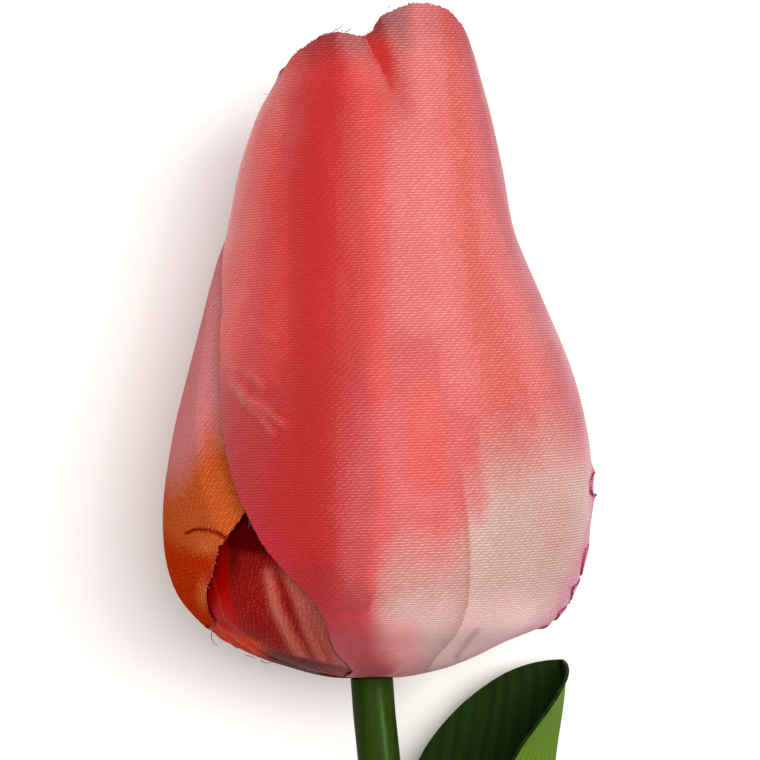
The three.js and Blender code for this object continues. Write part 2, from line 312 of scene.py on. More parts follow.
@dataclass
class BudForm:
    """The closed bud's outer form, which every petal follows at its own depth.

    Attributes:
        rows: Height, half width on the left, half width on the right, depth to width.
        steps: Samples along the meridian.
    """

    rows: Rows = (
        (0.0, 2.1, 2.1, 1.0), (0.15, 4.4, 4.0, 0.99), (0.85, 7.7, 7.2, 0.97),
        (1.9, 11.2, 10.1, 0.95), (3.6, 15.1, 13.6, 0.94), (5.8, 17.9, 18.5, 0.93),
        (8.8, 20.3, 20.7, 0.93), (13.0, 21.5, 22.1, 0.93), (18.5, 21.6, 22.6, 0.93),
        (25.0, 20.6, 22.3, 0.92), (32.0, 18.9, 20.5, 0.9), (39.0, 17.1, 17.6, 0.86),
        (46.0, 15.1, 14.7, 0.81), (52.5, 13.8, 13.4, 0.75), (58.5, 11.8, 12.1, 0.68),
        (63.0, 9.9, 10.9, 0.61), (67.0, 9.2, 9.9, 0.55), (71.0, 8.8, 8.9, 0.5),
    )
    steps: int = 3400
    _row: np.ndarray = field(init=False, repr=False)
    _arc: np.ndarray = field(init=False, repr=False)
    _height: np.ndarray = field(init=False, repr=False)

    def __post_init__(self) -> None:
        """Samples the meridian once, to read rows back from heights and lengths."""
        self._row = np.linspace(0, len(self.rows) - 1, self.steps + 1)
        self._height = np.maximum.accumulate(self.height(self._row))
        across = np.diff(self.half_width(self._row))
        length = np.hypot(across, np.diff(self._height))
        self._arc = np.concatenate([[0.0], np.cumsum(length)])

    def read(self, row: np.ndarray, column: int) -> np.ndarray:
        """A column of the form at a fractional row."""
        return through(tuple((i, *row) for i, row in enumerate(self.rows)), row, column + 1)

    def height(self, row: np.ndarray) -> np.ndarray:
        """The height of a row."""
        return self.read(row, 0)

    def half_width(self, row: np.ndarray) -> np.ndarray:
        """Half the width of the bud at a row."""
        return (self.read(row, 1) + self.read(row, 2)) / 2

    def centre(self, row: np.ndarray) -> np.ndarray:
        """How far right of the axis the middle of the bud's width lies at a row."""
        return (self.read(row, 2) - self.read(row, 1)) / 2

    def half_depth(self, row: np.ndarray) -> np.ndarray:
        """Half the depth of the bud, from front to back, at a row."""
        return self.half_width(row) * self.read(row, 3)

    def row_at(self, height: np.ndarray) -> np.ndarray:
        """The fractional row that has a height."""
        return np.interp(height, self._height, self._row)

    def arc_at(self, row: np.ndarray) -> np.ndarray:
        """The length of the meridian from the base up to a row."""
        return np.interp(row, self._row, self._arc)

    def row_of_arc(self, arc: np.ndarray) -> np.ndarray:
        """The fractional row at a length along the meridian."""
        return np.interp(arc, self._arc, self._row)

    def point(self, row: np.ndarray, azimuth: np.ndarray, inset: np.ndarray) -> np.ndarray:
        """Points of the bud, standing.

        Args:
            row: Fractional rows of the form.
            azimuth: Degrees about the bud, 0 in front and 90 on the right.
            inset: How far the points lie below the outer form.

        Returns:
            The points, with x, y and z on the last axis.
        """
        step = 0.05
        below = np.maximum(row - step, 0)
        above = np.minimum(row + step, len(self.rows) - 1)
        across = self.half_width(above) - self.half_width(below)
        up = self.height(above) - self.height(below)
        length = np.hypot(across, up)
        inward = inset * up / length
        angle = np.radians(azimuth)
        return np.stack(
            [
                self.centre(row) + (self.half_width(row) - inward) * np.sin(angle),
                -(self.half_depth(row) - inward) * np.cos(angle),
                self.height(row) + inset * across / length,
            ],
            axis=-1,
        )


BUD = BudForm()


# Materials


def linear(code: str) -> tuple[float, float, float, float]:
    """An sRGB hex colour as linear values.

    Args:
        code: The colour, such as "#c83a36".

    Returns:
        Red, green, blue and alpha for a shader's socket.
    """
    parts = [int(code[i : i + 2], 16) / 255 for i in (1, 3, 5)]
    return (*(c / 12.92 if c <= 0.04045 else ((c + 0.055) / 1.055) ** 2.4 for c in parts), 1.0)


def fill(tree: bpy.types.NodeTree, node: bpy.types.Node, inputs: dict[Any, Any]) -> None:
    """Sets or links a node's inputs.

    Args:
        tree: The node tree.
        node: The node.
        inputs: A value or another node's output socket for each input, by name or number.
    """
    for name, value in inputs.items():
        if isinstance(value, bpy.types.NodeSocket):
            tree.links.new(value, node.inputs[name])
        else:
            node.inputs[name].default_value = value


def add_node(
    tree: bpy.types.NodeTree,
    kind: str,
    inputs: dict[Any, Any] | None = None,
    output: str | int = 0,
    **settings: Any,
) -> bpy.types.NodeSocket:
    """Adds a node with its settings and links.

    Args:
        tree: The node tree.
        kind: The node's type without its ShaderNode prefix.
        inputs: A value or another node's output socket for each input, by name or number.
        output: The output that is wanted, by name or number.
        settings: The node's own properties.

    Returns:
        The wanted output's socket.
    """
    node = tree.nodes.new("ShaderNode" + kind)
    for name, value in settings.items():
        setattr(node, name, value)
    fill(tree, node, inputs or {})
    return node.outputs[output]


def wave_scale(pitch: float) -> float:
    """The scale at which a wave texture's bands repeat once in every pitch."""
    return math.tau / 20 / pitch


def grain_scale(count: float) -> float:
    """The scale at which noise on Object coordinates has so many grains in a millimetre."""
    return count / MM


class Weave(Enum):
    """How a cloth is woven: its pitch between threads and the length of its floats, in mm."""

    SATIN = (0.28, 0.8)
    PLAIN = (0.26, 0.26)


@dataclass(frozen=True)
class Finish:
    """A real material, by its common name and how it was made.

    Attributes:
        name: The material's name.
    """

    name: str

    def inputs(self, tree: bpy.types.NodeTree) -> dict[str, Any]:
        """The shader's inputs: a value for each, or the socket that drives it."""
        raise NotImplementedError

    def material(self) -> bpy.types.Material:
        """Builds the material.

        Returns:
            The material, with the inputs of its shader set or linked.
        """
        made = bpy.data.materials.new(self.name)
        made.use_nodes = True
        tree = made.node_tree
        fill(tree, tree.nodes["Principled BSDF"], self.inputs(tree))
        return made


@dataclass(frozen=True)
class WovenSatin(Finish):
    """Polyester satin, woven, dyed by airbrush and pressed to shape.

    The long floats of the weft lie side by side, so the cloth gives the eye fine bright lines with
    deeper coloured gaps and one broad highlight that runs across the threads.

    Attributes:
        body: The dye over most of the petal.
        dyes: Further dyes and colours of painted light and shade, each laid where the petal's
        attribute of that name is 1.
        sheen: The colour of the sheen seen where the cloth turns away.
        sheen_weight: The strength of that sheen.
        roughness: How blurred its highlight is.
        anisotropy: How far the highlight is drawn out across the threads.
        gloss: The strength of the highlight on the crowns of the threads.
        gap: How much deeper the dye looks between the threads.
        blotches: Blotches in a millimetre where one dye runs into the next.
        wear: Places in a millimetre that are rubbed a little duller.
    """

    body: str
    dyes: tuple[tuple[str, str], ...]
    sheen: str = "#b9a6dc"
    sheen_weight: float = 0.05
    roughness: float = 0.4
    anisotropy: float = 0.75
    gloss: float = 0.7
    gap: float = 0.6
    blotches: float = 0.62
    wear: float = 0.24

    def threads(self, tree: bpy.types.NodeTree) -> bpy.types.NodeSocket:
        """The relief of the weave.

        Args:
            tree: The material's node tree.

        Returns:
            The height of the threads, from 0 in the gaps to 1 on the crowns of the floats.
        """
        pitch, float_length = Weave.SATIN.value
        slope = math.radians(48)
        uv = add_node(tree, "UVMap", uv_map="weave")
        place = add_node(tree, "VectorMath", {0: uv, "Scale": 1 / UV_PER_MM}, operation="SCALE")
        rows = add_node(
            tree,
            "TexWave",
            {
                "Vector": place,
                "Scale": wave_scale(pitch),
                "Distortion": 1.6,
                "Detail": 2.0,
                "Detail Scale": 0.9,
            },
            output="Fac",
            wave_type="BANDS",
            bands_direction="Y",
        )
        slant = add_node(tree, "Mapping", {"Vector": place, "Rotation": (0.0, 0.0, slope)})
        steps = add_node(
            tree,
            "TexWave",
            {
                "Vector": slant,
                "Scale": wave_scale(float_length * math.cos(slope)),
                "Distortion": 5.0,
                "Detail": 3.0,
                "Detail Scale": 1.6,
            },
            output="Fac",
            wave_type="BANDS",
            bands_direction="X",
        )
        floats = add_node(
            tree,
            "Mapping",
            {"Vector": place, "Scale": (float_length * 0.8, pitch * 0.62, 1.0)},
            vector_type="TEXTURE",
        )
        dash = add_node(tree, "TexNoise", {"Vector": floats, "Scale": 1.0, "Detail": 1.0}, output="Fac")
        both = add_node(tree, "Math", {0: steps, 1: 0.28, 2: dash}, operation="MULTIPLY_ADD")
        crown = add_node(
            tree,
            "MapRange",
            {"Value": both, "From Min": 0.42, "From Max": 0.88, "To Min": 0.3, "To Max": 1.0},
        )
        return add_node(tree, "Math", {0: rows, 1: crown}, operation="MULTIPLY")

    def dyed(self, tree: bpy.types.NodeTree) -> bpy.types.NodeSocket:
        """The dye and painted light colours, with soft blotched borders where one runs into the next.

        Args:
            tree: The material's node tree.

        Returns:
            The colour of the cloth, before its threads shade it.
        """
        place = add_node(tree, "TexCoord", output="Object")
        blotches = grain_scale(self.blotches)
        grains = {"Vector": place, "Scale": blotches, "Detail": 4.0, "Roughness": 0.62}
        blotch = add_node(tree, "TexNoise", grains, output="Fac")
        colour: Any = linear(self.body)
        for zone, code in self.dyes:
            mask = add_node(tree, "Attribute", output="Fac", attribute_name=zone)
            laid = add_node(tree, "Math", {0: blotch, 1: 0.3, 2: mask}, operation="MULTIPLY_ADD")
            share = add_node(tree, "MapRange", {"Value": laid, "From Min": 0.26, "From Max": 1.0})
            layers = {"Factor": share, 6: colour, 7: linear(code)}
            colour = add_node(tree, "Mix", layers, output=2, data_type="RGBA")
        return colour

    def inputs(self, tree: bpy.types.NodeTree) -> dict[str, Any]:
        """The shader's inputs.

        Args:
            tree: The material's node tree.

        Returns:
            For each input, a value or the socket that drives it.
        """
        height = self.threads(tree)
        depth = add_node(tree, "MapRange", {"Value": height, "To Min": 1 + self.gap, "To Max": 0.85})
        place = add_node(tree, "TexCoord", output="Object")
        grains = {"Vector": place, "Scale": grain_scale(self.wear), "Detail": 3.0}
        wear_and_painted_glint = add_node(tree, "TexNoise", grains, output="Fac")
        return {
            "Base Color": add_node(tree, "Gamma", {"Color": self.dyed(tree), "Gamma": depth}),
            "Normal": add_node(tree, "Bump", {"Strength": 0.5, "Distance": 0.00006, "Height": height}),
            "Tangent": add_node(tree, "Tangent", direction_type="UV_MAP", uv_map="weave"),
            "Specular IOR Level": self.gloss,
            "Roughness": add_node(
                tree,
                "MapRange",
                {
                    "Value": add_node(
                        tree, "Math", {0: height, 1: -0.75, 2: wear_and_painted_glint}, operation="MULTIPLY_ADD"
                    ),
                    "From Min": -0.4,
                    "From Max": 0.6,
                    "To Min": self.roughness - 0.08,
                    "To Max": self.roughness + 0.22,
                },
            ),
            "IOR": 1.57,
            "Anisotropic": self.anisotropy,
            "Anisotropic Rotation": 0.25,
            "Sheen Weight": self.sheen_weight,
            "Sheen Roughness": 0.45,
            "Sheen Tint": linear(self.sheen),
        }


@dataclass(frozen=True)
class FrayedThread(Finish):
    """Loose polyester filament, cut, which gives the eye a fine dark fringe along a cut edge.

    Attributes:
        colour: The dye of the filament.
        tip: The dye of its specks.
        specks: Specks in a millimetre.
    """

    colour: str
    tip: str = "#864460"
    specks: float = 2.2

    def inputs(self, tree: bpy.types.NodeTree) -> dict[str, Any]:
        """The shader's inputs.

        Args:
            tree: The material's node tree.

        Returns:
            For each input, a value or the socket that drives it.
        """
        place = add_node(tree, "TexCoord", output="Object")
        grains = {"Vector": place, "Scale": grain_scale(self.specks), "Detail": 2.0}
        speck = add_node(tree, "TexNoise", grains, output="Fac")
        dyes = {"Factor": speck, 6: linear(self.colour), 7: linear(self.tip)}
        return {
            "Base Color": add_node(tree, "Mix", dyes, output=2, data_type="RGBA"),
            "Roughness": 0.5,
            "IOR": 1.57,
        }


@dataclass(frozen=True)
class MouldedPlastic(Finish):
    """Polyethylene, injection moulded, which gives the eye a waxy half gloss with faint flow lines.

    Attributes:
        colour: Its main colour.
        streak: The lighter colour of its flow lines.
        painted_highlight_colour: The colour of a lighter line painted where a highlight falls.
        roughness: How blurred its highlight is.
        gloss: How strong that highlight is.
        flow: Flow lines in a millimetre.
        clouds: Duller patches in a millimetre.
        pores: Pores in a millimetre.
    """

    colour: str
    streak: str
    painted_highlight_colour: str = "#3e5828"
    roughness: float = 0.36
    gloss: float = 0.5
    flow: float = 0.9
    clouds: float = 0.16
    pores: float = 3.5

    def inputs(self, tree: bpy.types.NodeTree) -> dict[str, Any]:
        """The shader's inputs.

        Args:
            tree: The material's node tree.

        Returns:
            For each input, a value or the socket that drives it.
        """
        place = add_node(tree, "TexCoord", output="Object")
        drawn = add_node(tree, "Mapping", {"Vector": place, "Scale": (1.0, 0.03, 1.0)})
        grains = {"Vector": drawn, "Scale": grain_scale(self.flow), "Detail": 4.0, "Roughness": 0.6}
        flow = add_node(tree, "TexNoise", grains, output="Fac")
        grains = {"Vector": place, "Scale": grain_scale(self.clouds), "Detail": 3.0}
        cloud = add_node(tree, "TexNoise", grains, output="Fac")
        grains = {"Vector": place, "Scale": grain_scale(self.pores), "Detail": 2.0}
        pores = add_node(tree, "TexNoise", grains, output="Fac")
        both = add_node(tree, "Math", {0: flow, 1: cloud}, operation="ADD")
        share = add_node(tree, "MapRange", {"Value": both, "From Min": 0.75, "From Max": 1.25})
        relief = add_node(tree, "Math", {0: pores, 1: 0.3, 2: flow}, operation="MULTIPLY_ADD")
        streaked = {"Factor": share, 6: linear(self.colour), 7: linear(self.streak)}
        body = add_node(tree, "Mix", streaked, output=2, data_type="RGBA")
        # A lighter line painted where a highlight falls on the stem.
        line = add_node(tree, "Attribute", output="Fac", attribute_name="painted_highlight_line")
        with_painted_highlight = {"Factor": line, 6: body, 7: linear(self.painted_highlight_colour)}
        low, high = self.roughness - 0.08, self.roughness + 0.08
        dulled = {"Value": cloud, "To Min": low, "To Max": high}
        return {
            "Base Color": add_node(tree, "Mix", with_painted_highlight, output=2, data_type="RGBA"),
            "Normal": add_node(tree, "Bump", {"Strength": 0.35, "Distance": 0.00004, "Height": relief}),
            "Roughness": add_node(tree, "MapRange", dulled),
            "Specular IOR Level": self.gloss,
            "IOR": 1.51,
        }


@dataclass(frozen=True)
class DrawnSteel(Finish):
    """Steel wire, cold drawn, which gives the eye a grey gloss broken by lengthwise scratches.

    Attributes:
        colour: The colour of the bright steel.
        dull: Its colour in the scratches.
        scratches: Scratches in a millimetre.
    """

    name: str = "steel wire, drawn"
    colour: str = "#9a9ca0"
    dull: str = "#6d6b68"
    scratches: float = 6.0

    def inputs(self, tree: bpy.types.NodeTree) -> dict[str, Any]:
        """The shader's inputs.

        Args:
            tree: The material's node tree.

        Returns:
            For each input, a value or the socket that drives it.
        """
        place = add_node(tree, "TexCoord", output="Object")
        drawn = add_node(tree, "Mapping", {"Vector": place, "Scale": (1.0, 0.02, 1.0)})
        grains = {"Vector": drawn, "Scale": grain_scale(self.scratches), "Detail": 3.0}
        scratch = add_node(tree, "TexNoise", grains, output="Fac")
        greys = {"Factor": scratch, 6: linear(self.colour), 7: linear(self.dull)}
        return {
            "Base Color": add_node(tree, "Mix", greys, output=2, data_type="RGBA"),
            "Normal": add_node(tree, "Bump", {"Strength": 0.3, "Distance": 0.00002, "Height": scratch}),
            "Roughness": add_node(tree, "MapRange", {"Value": scratch, "To Min": 0.25, "To Max": 0.45}),
            "Metallic": 1.0,
        }


@dataclass(frozen=True)
class CoatedLeafCloth(Finish):
    """Polyester leaf cloth, woven, printed and coated on its upper face.

    The coating gives the upper face a dark waxy gloss; the bare under face shows its threads and a
    lighter, streaked green. On the leaf the upper face's near-black green also holds painted shade.

    Attributes:
        colour: The print's main green.
        vein: The lighter green of its veins and streaks.
        roughness: How blurred its highlight is.
        gloss: How strong that highlight is.
        thread_relief: How far the threads show, from 0 to 1.
        vein_pitch: Distance between the embossed veins.
        streaks: Streaks of the print in a millimetre.
    """

    colour: str
    vein: str
    roughness: float
    gloss: float
    thread_relief: float
    vein_pitch: float = 1.6
    streaks: float = 2.2

    def inputs(self, tree: bpy.types.NodeTree) -> dict[str, Any]:
        """The shader's inputs.

        Args:
            tree: The material's node tree.

        Returns:
            For each input, a value or the socket that drives it.
        """
        pitch, _ = Weave.PLAIN.value
        uv = add_node(tree, "UVMap", uv_map="weave")
        place = add_node(tree, "VectorMath", {0: uv, "Scale": 1 / UV_PER_MM}, operation="SCALE")
        bands = {"Vector": place, "Scale": wave_scale(pitch), "Distortion": 0.6}
        warp = add_node(tree, "TexWave", bands, output="Fac", bands_direction="X")
        weft = add_node(tree, "TexWave", bands, output="Fac", bands_direction="Y")
        cloth = add_node(tree, "Math", {0: warp, 1: weft}, operation="MULTIPLY")
        vein = add_node(
            tree,
            "TexWave",
            {
                "Vector": place,
                "Scale": wave_scale(self.vein_pitch),
                "Distortion": 1.2,
                "Detail Scale": 0.4,
            },
            output="Fac",
            bands_direction="X",
        )
        drawn = add_node(tree, "Mapping", {"Vector": place, "Scale": (1.0, 0.06, 1.0)})
        streak = add_node(
            tree,
            "TexNoise",
            {"Vector": drawn, "Scale": self.streaks, "Detail": 5.0, "Roughness": 0.65},
            output="Fac",
        )
        share = add_node(tree, "Math", {0: vein, 1: 0.25, 2: streak}, operation="MULTIPLY_ADD")
        share = add_node(tree, "MapRange", {"Value": share, "From Min": 0.3, "From Max": 0.95})
        greens = {"Factor": share, 6: linear(self.colour), 7: linear(self.vein)}
        printed = add_node(tree, "Mix", greens, output=2, data_type="RGBA")
        depth = add_node(
            tree, "MapRange", {"Value": cloth, "To Min": 1 + 0.22 * self.thread_relief, "To Max": 1.0}
        )
        relief = add_node(
            tree, "Math", {0: cloth, 1: self.thread_relief, 2: vein}, operation="MULTIPLY_ADD"
        )
        low, high = self.roughness - 0.1, self.roughness + 0.1
        dulled = {"Value": streak, "To Min": low, "To Max": high}
        return {
            "Base Color": add_node(tree, "Gamma", {"Color": printed, "Gamma": depth}),
            "Normal": add_node(tree, "Bump", {"Strength": 0.5, "Distance": 0.00005, "Height": relief}),
            "Roughness": add_node(tree, "MapRange", dulled),
            "Specular IOR Level": self.gloss,
            "IOR": 1.5,
        }


# Meshes


def whole(
    name: str, points: np.ndarray, faces: Sequence[Sequence[int]], body: str = "root"
) -> bpy.types.Object:
    """Makes an object from standing points and its faces, and rides it on a body.

    Args:
        name: The object's name.
        points: Standing points in millimetres, one a line.
        faces: Corner numbers of each face.
        body: The body it rides on.

    Returns:
        The new object, at the origin, with its place in its mesh.
    """
    mesh = bpy.data.meshes.new(name)
    mesh.from_pydata(points.tolist(), [], faces)
    mesh.transform(POSE.matrix())
    mesh.update()
    made = bpy.data.objects.new(name, mesh)
    bpy.context.scene.collection.objects.link(made)
    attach(made, body)
    return made


@dataclass
class Sheet:
    """A sheet of cloth on a grid, with two faces and a cut rim.

    Attributes:
        outer: Points of the outer face, standing, by row and column.
        thickness: How thick the cloth is.
        weave: Place of each point on the flat cloth, in millimetres.
        zones: Named values from 0 to 1 at each point, for the dyes.
    """

    outer: np.ndarray
    thickness: float
    weave: np.ndarray
    zones: dict[str, np.ndarray]

    def normals(self) -> np.ndarray:
        """Outward directions of the outer face.

        Returns:
            A unit vector at each of its points.
        """
        up = np.gradient(self.outer, axis=0)
        across = np.gradient(self.outer, axis=1)
        facing = np.cross(across, up)
        return facing / np.maximum(np.linalg.norm(facing, axis=-1, keepdims=True), 1e-12)

    def flat_area(self) -> float:
        """Area of the outer face.

        Returns:
            The area in square millimetres.
        """
        a, b = self.outer[:-1, :-1], self.outer[:-1, 1:]
        c, d = self.outer[1:, 1:], self.outer[1:, :-1]
        halves = np.linalg.norm(np.cross(b - a, c - a), axis=-1)
        others = np.linalg.norm(np.cross(c - a, d - a), axis=-1)
        return float((halves + others).sum() / 2)

    def build(self, name: str, inner_floor: float | None = None) -> bpy.types.Object:
        """Makes the sheet's object.

        Args:
            name: The object's name.
            inner_floor: The least height, lying, of the inner face above the floor.

        Returns:
            The object, whose inner side and rim have material index 1.
        """
        rows, columns = self.outer.shape[:2]
        inner = self.outer - self.normals() * self.thickness
        if inner_floor is not None:
            inner = POSE.rested(inner, inner_floor)
        points = np.concatenate([self.outer.reshape(-1, 3), inner.reshape(-1, 3)])
        count = rows * columns
        j, i = np.mgrid[0 : rows - 1, 0 : columns - 1]
        a = (j * columns + i).ravel()
        quads = np.stack([a, a + 1, a + columns + 1, a + columns], axis=1)
        back = quads[:, ::-1] + count
        rim = np.concatenate(
            [
                np.arange(0, columns - 1),
                np.arange(columns - 1, count - 1, columns),
                np.arange(count - 1, count - columns, -1),
                np.arange(count - columns, 0, -columns),
            ]
        )
        after = np.roll(rim, -1)
        edge = np.stack([after, rim, rim + count, after + count], axis=1)
        faces = np.concatenate([quads, back, edge])
        made = whole(name, points, faces.tolist())
        mesh = made.data
        corner = np.empty(len(mesh.loops), np.int32)
        mesh.loops.foreach_get("vertex_index", corner)
        flat = self.weave.reshape(-1, 2) * UV_PER_MM
        uv = mesh.uv_layers.new(name="weave")
        uv.uv.foreach_set("vector", np.concatenate([flat, flat])[corner].astype(np.float32).ravel())
        for zone, value in self.zones.items():
            spread = np.clip(np.concatenate([value.ravel(), value.ravel()]), 0, 1)
            mesh.attributes.new(zone, "FLOAT", "POINT").data.foreach_set(
                "value", spread.astype(np.float32)
            )
        sides = np.zeros(len(faces), np.int32)
        sides[len(quads) :] = 1
        mesh.polygons.foreach_set("material_index", sides)
        mesh.polygons.foreach_set("use_smooth", np.ones(len(faces), bool))
        mesh.set_sharp_from_angle(angle=math.radians(60))
        return made


@dataclass
class Strands:
    """Fine threads, each a three-sided tapered length of filament, gathered in one piece.

    Attributes:
        name: The piece's name.
        sides: Sides of each thread.
        taper: Thickness at the tip, as a share of that at the root.
        lines: Each thread's points, standing, from root to tip.
        radii: Half of each thread's thickness at its root.
    """

    name: str
    sides: int = 3
    taper: float = 0.55
    lines: list[np.ndarray] = field(default_factory=list)
    radii: list[float] = field(default_factory=list)

    def add(self, line: np.ndarray, radius: float) -> None:
        """Adds one thread."""
        self.lines.append(np.asarray(line, float))
        self.radii.append(radius)

    def build(self) -> bpy.types.Object:
        """Makes the object that holds all the threads.

        Returns:
            The object, with no material yet.
        """
        # Each ring is turned from this direction, which no thread follows.
        helper = np.array([0.31, 0.52, 0.79])
        turns = [k * math.tau / self.sides for k in range(self.sides)]
        points: list[np.ndarray] = []
        faces: list[tuple[int, ...]] = []
        start = 0
        for line, radius in zip(self.lines, self.radii):
            heading = np.gradient(line, axis=0)
            heading /= np.maximum(np.linalg.norm(heading, axis=1, keepdims=True), 1e-9)
            side = np.cross(heading, helper)
            side /= np.maximum(np.linalg.norm(side, axis=1, keepdims=True), 1e-9)
            other = np.cross(heading, side)
            reach = np.linspace(1.0, self.taper, len(line))[:, None] * radius
            ring = [line + reach * (math.cos(a) * side + math.sin(a) * other) for a in turns]
            points.append(np.stack(ring, axis=1).reshape(-1, 3))
            last = start + self.sides * (len(line) - 1)
            for low in range(start, last, self.sides):
                high = low + self.sides
                for a in range(self.sides):
                    b = (a + 1) % self.sides
                    faces.append((low + a, low + b, high + b, high + a))
            faces.append(tuple(start + a for a in reversed(range(self.sides))))
            faces.append(tuple(last + a for a in range(self.sides)))
            start = last + self.sides
        made = whole(self.name, np.concatenate(points), faces)
        for polygon in made.data.polygons:
            polygon.use_smooth = True
        return made


# The petals


@dataclass(frozen=True)
class Places:
    """Places on a petal.

    Attributes:
        x: How far each lies right of the bud's axis, as it looks in the photograph.
        height: How high up the bud each lies, as it looks in the photograph.
        azimuth: Degrees about the bud, 0 in front and 90 on the right.
        rim: Distance from the petal's nearest side edge, as it was cut.
    """

    x: np.ndarray
    height: np.ndarray
    azimuth: np.ndarray
    rim: np.ndarray


@dataclass
class Petal:
    """A petal cut from satin, pressed to the bud's form and threaded on the stem's peg.

    Attributes:
        node: The model's node that it stands for.
        layer: Height above the floor of the layer that it lies in where the bud rests.
        columns: Faces across the grid.
        rows: Faces up the grid.
        edges: Its side edges: height, azimuth, azimuth.
        top: Its top edge: place across from -1 to 1, height.
        finish: Its satin.
        thread_turn: How far its weft is turned from level, in degrees.
        thickness: How thick the cloth is.
        fray: How far its cut edge wavers.
        seed: Picks its random pattern.
        fringe_colour: The colour of the threads along its cut edges.
        fringe_every: How far apart they stand.
        fringe_length: How far they stick out.
        loose: Longer loose threads, each as places (x, z).
    """

    node: str
    layer: float
    columns: int
    rows: int
    edges: Rows
    top: Rows
    finish: WovenSatin
    thread_turn: float = 0.0
    thickness: float = 0.2
    fray: float = 0.1
    seed: int = 1
    fringe_colour: str = "#74283c"
    fringe_every: float = 0.15
    fringe_length: float = 0.2
    loose: tuple[Path, ...] = ()

    def inset(self, height: np.ndarray, azimuth: np.ndarray) -> np.ndarray:
        """How deep each place of the petal lies below the bud's form."""
        return np.zeros_like(height)

    def relief(self, at: Places) -> np.ndarray:
        """How far the cloth stands proud: wide waves and fine wrinkles."""
        wide = 0.07 * ripple(self.seed, at.x / 5.0 + at.azimuth / 40, at.height / 9.0)
        return wide + 0.018 * ripple(self.seed + 1, at.azimuth / 4.5, at.height / 2.4)

    def zones(self, at: Places) -> dict[str, np.ndarray]:
        """For each dye's name, its strength from 0 to 1 at each place."""
        return {zone: np.zeros_like(at.x) for zone, _ in self.finish.dyes}

    def places(self) -> np.ndarray:
        """The places across, from -1 to 1, of the grid's columns."""
        return np.linspace(-1, 1, self.columns + 1)

    def levels(self) -> np.ndarray:
        """The shares of the way up, from 0 to 1, of the grid's rows."""
        return np.linspace(0, 1, self.rows + 1)

    def side_edges(self, height: np.ndarray) -> tuple[np.ndarray, np.ndarray]:
        """Azimuths of the left and right edge as they were cut."""
        return through(self.edges, height, 1), through(self.edges, height, 2)

    def torn(self, height: np.ndarray, side: int) -> np.ndarray:
        """The waver of a frayed side edge, from about -1.6 to 1.6."""
        seed = self.seed + 11 + side
        return ripple(seed, height / 0.45) + 0.6 * ripple(seed, height / 1.7)

    def tear(self, height: np.ndarray) -> np.ndarray:
        """How far tears pull the right edge, in degrees."""
        return np.zeros_like(height)

    def sheet(self) -> Sheet:
        """Works out the petal's cloth.

        Returns:
            Its sheet, standing, on the bud's form.
        """
        across, up = np.meshgrid(self.places(), self.levels())
        waver = ripple(self.seed + 13, across * 90) + 0.6 * ripple(self.seed + 14, across * 24)
        top = through(self.top, across) + self.fray * waver
        row = BUD.row_of_arc(up * BUD.arc_at(BUD.row_at(top)))
        height = BUD.height(row)
        radius = BUD.half_width(row)
        left, right = self.side_edges(height)
        waver = [self.fray * self.torn(height, k) / np.maximum(radius, 3) for k in (0, 1)]
        azimuth = mix(left, right, (across + 1) / 2)
        azimuth += np.degrees(waver[0]) * smooth(across, -0.9, -1)
        azimuth += np.degrees(waver[1]) * smooth(across, 0.9, 1)
        azimuth += self.tear(height) * smooth(across, 0.88, 1)
        inset = self.inset(height, azimuth)
        rim = np.radians(np.minimum(azimuth - left, right - azimuth)) * radius
        at = Places(*POSE.in_view(BUD.point(row, azimuth, inset)), azimuth, rim)
        outer = POSE.rested(BUD.point(row, azimuth, inset - self.relief(at)), self.layer)
        arc = BUD.arc_at(row)
        around = np.radians(azimuth - (self.edges[-1][1] + self.edges[-1][2]) / 2) * radius
        turn = math.radians(self.thread_turn)
        weave = np.stack(
            [
                around * math.cos(turn) + arc * math.sin(turn),
                arc * math.cos(turn) - around * math.sin(turn),
            ],
            axis=-1,
        )
        return Sheet(outer, self.thickness, weave, self.zones(at))

    def loose_thread(self, path: Path) -> np.ndarray:
        """Bends a loose thread smoothly through its places, just clear of the bud.

        Args:
            path: Its places, as (x, z) from the front.

        Returns:
            Its points, standing.
        """
        clear = 0.15
        rows = tuple((i, x, z) for i, (x, z) in enumerate(path))
        along = np.linspace(0, len(path) - 1, 6 * len(path))
        x, z = through(rows, along, 1), through(rows, along, 2)
        row = BUD.row_at(np.maximum(z, 0.3))
        turn = np.clip((x - BUD.centre(row)) / (BUD.half_width(row) + clear), -0.97, 0.97)
        depth = BUD.half_depth(row) + clear
        return np.stack([x, -depth * np.sqrt(1 - turn * turn), z], axis=1)

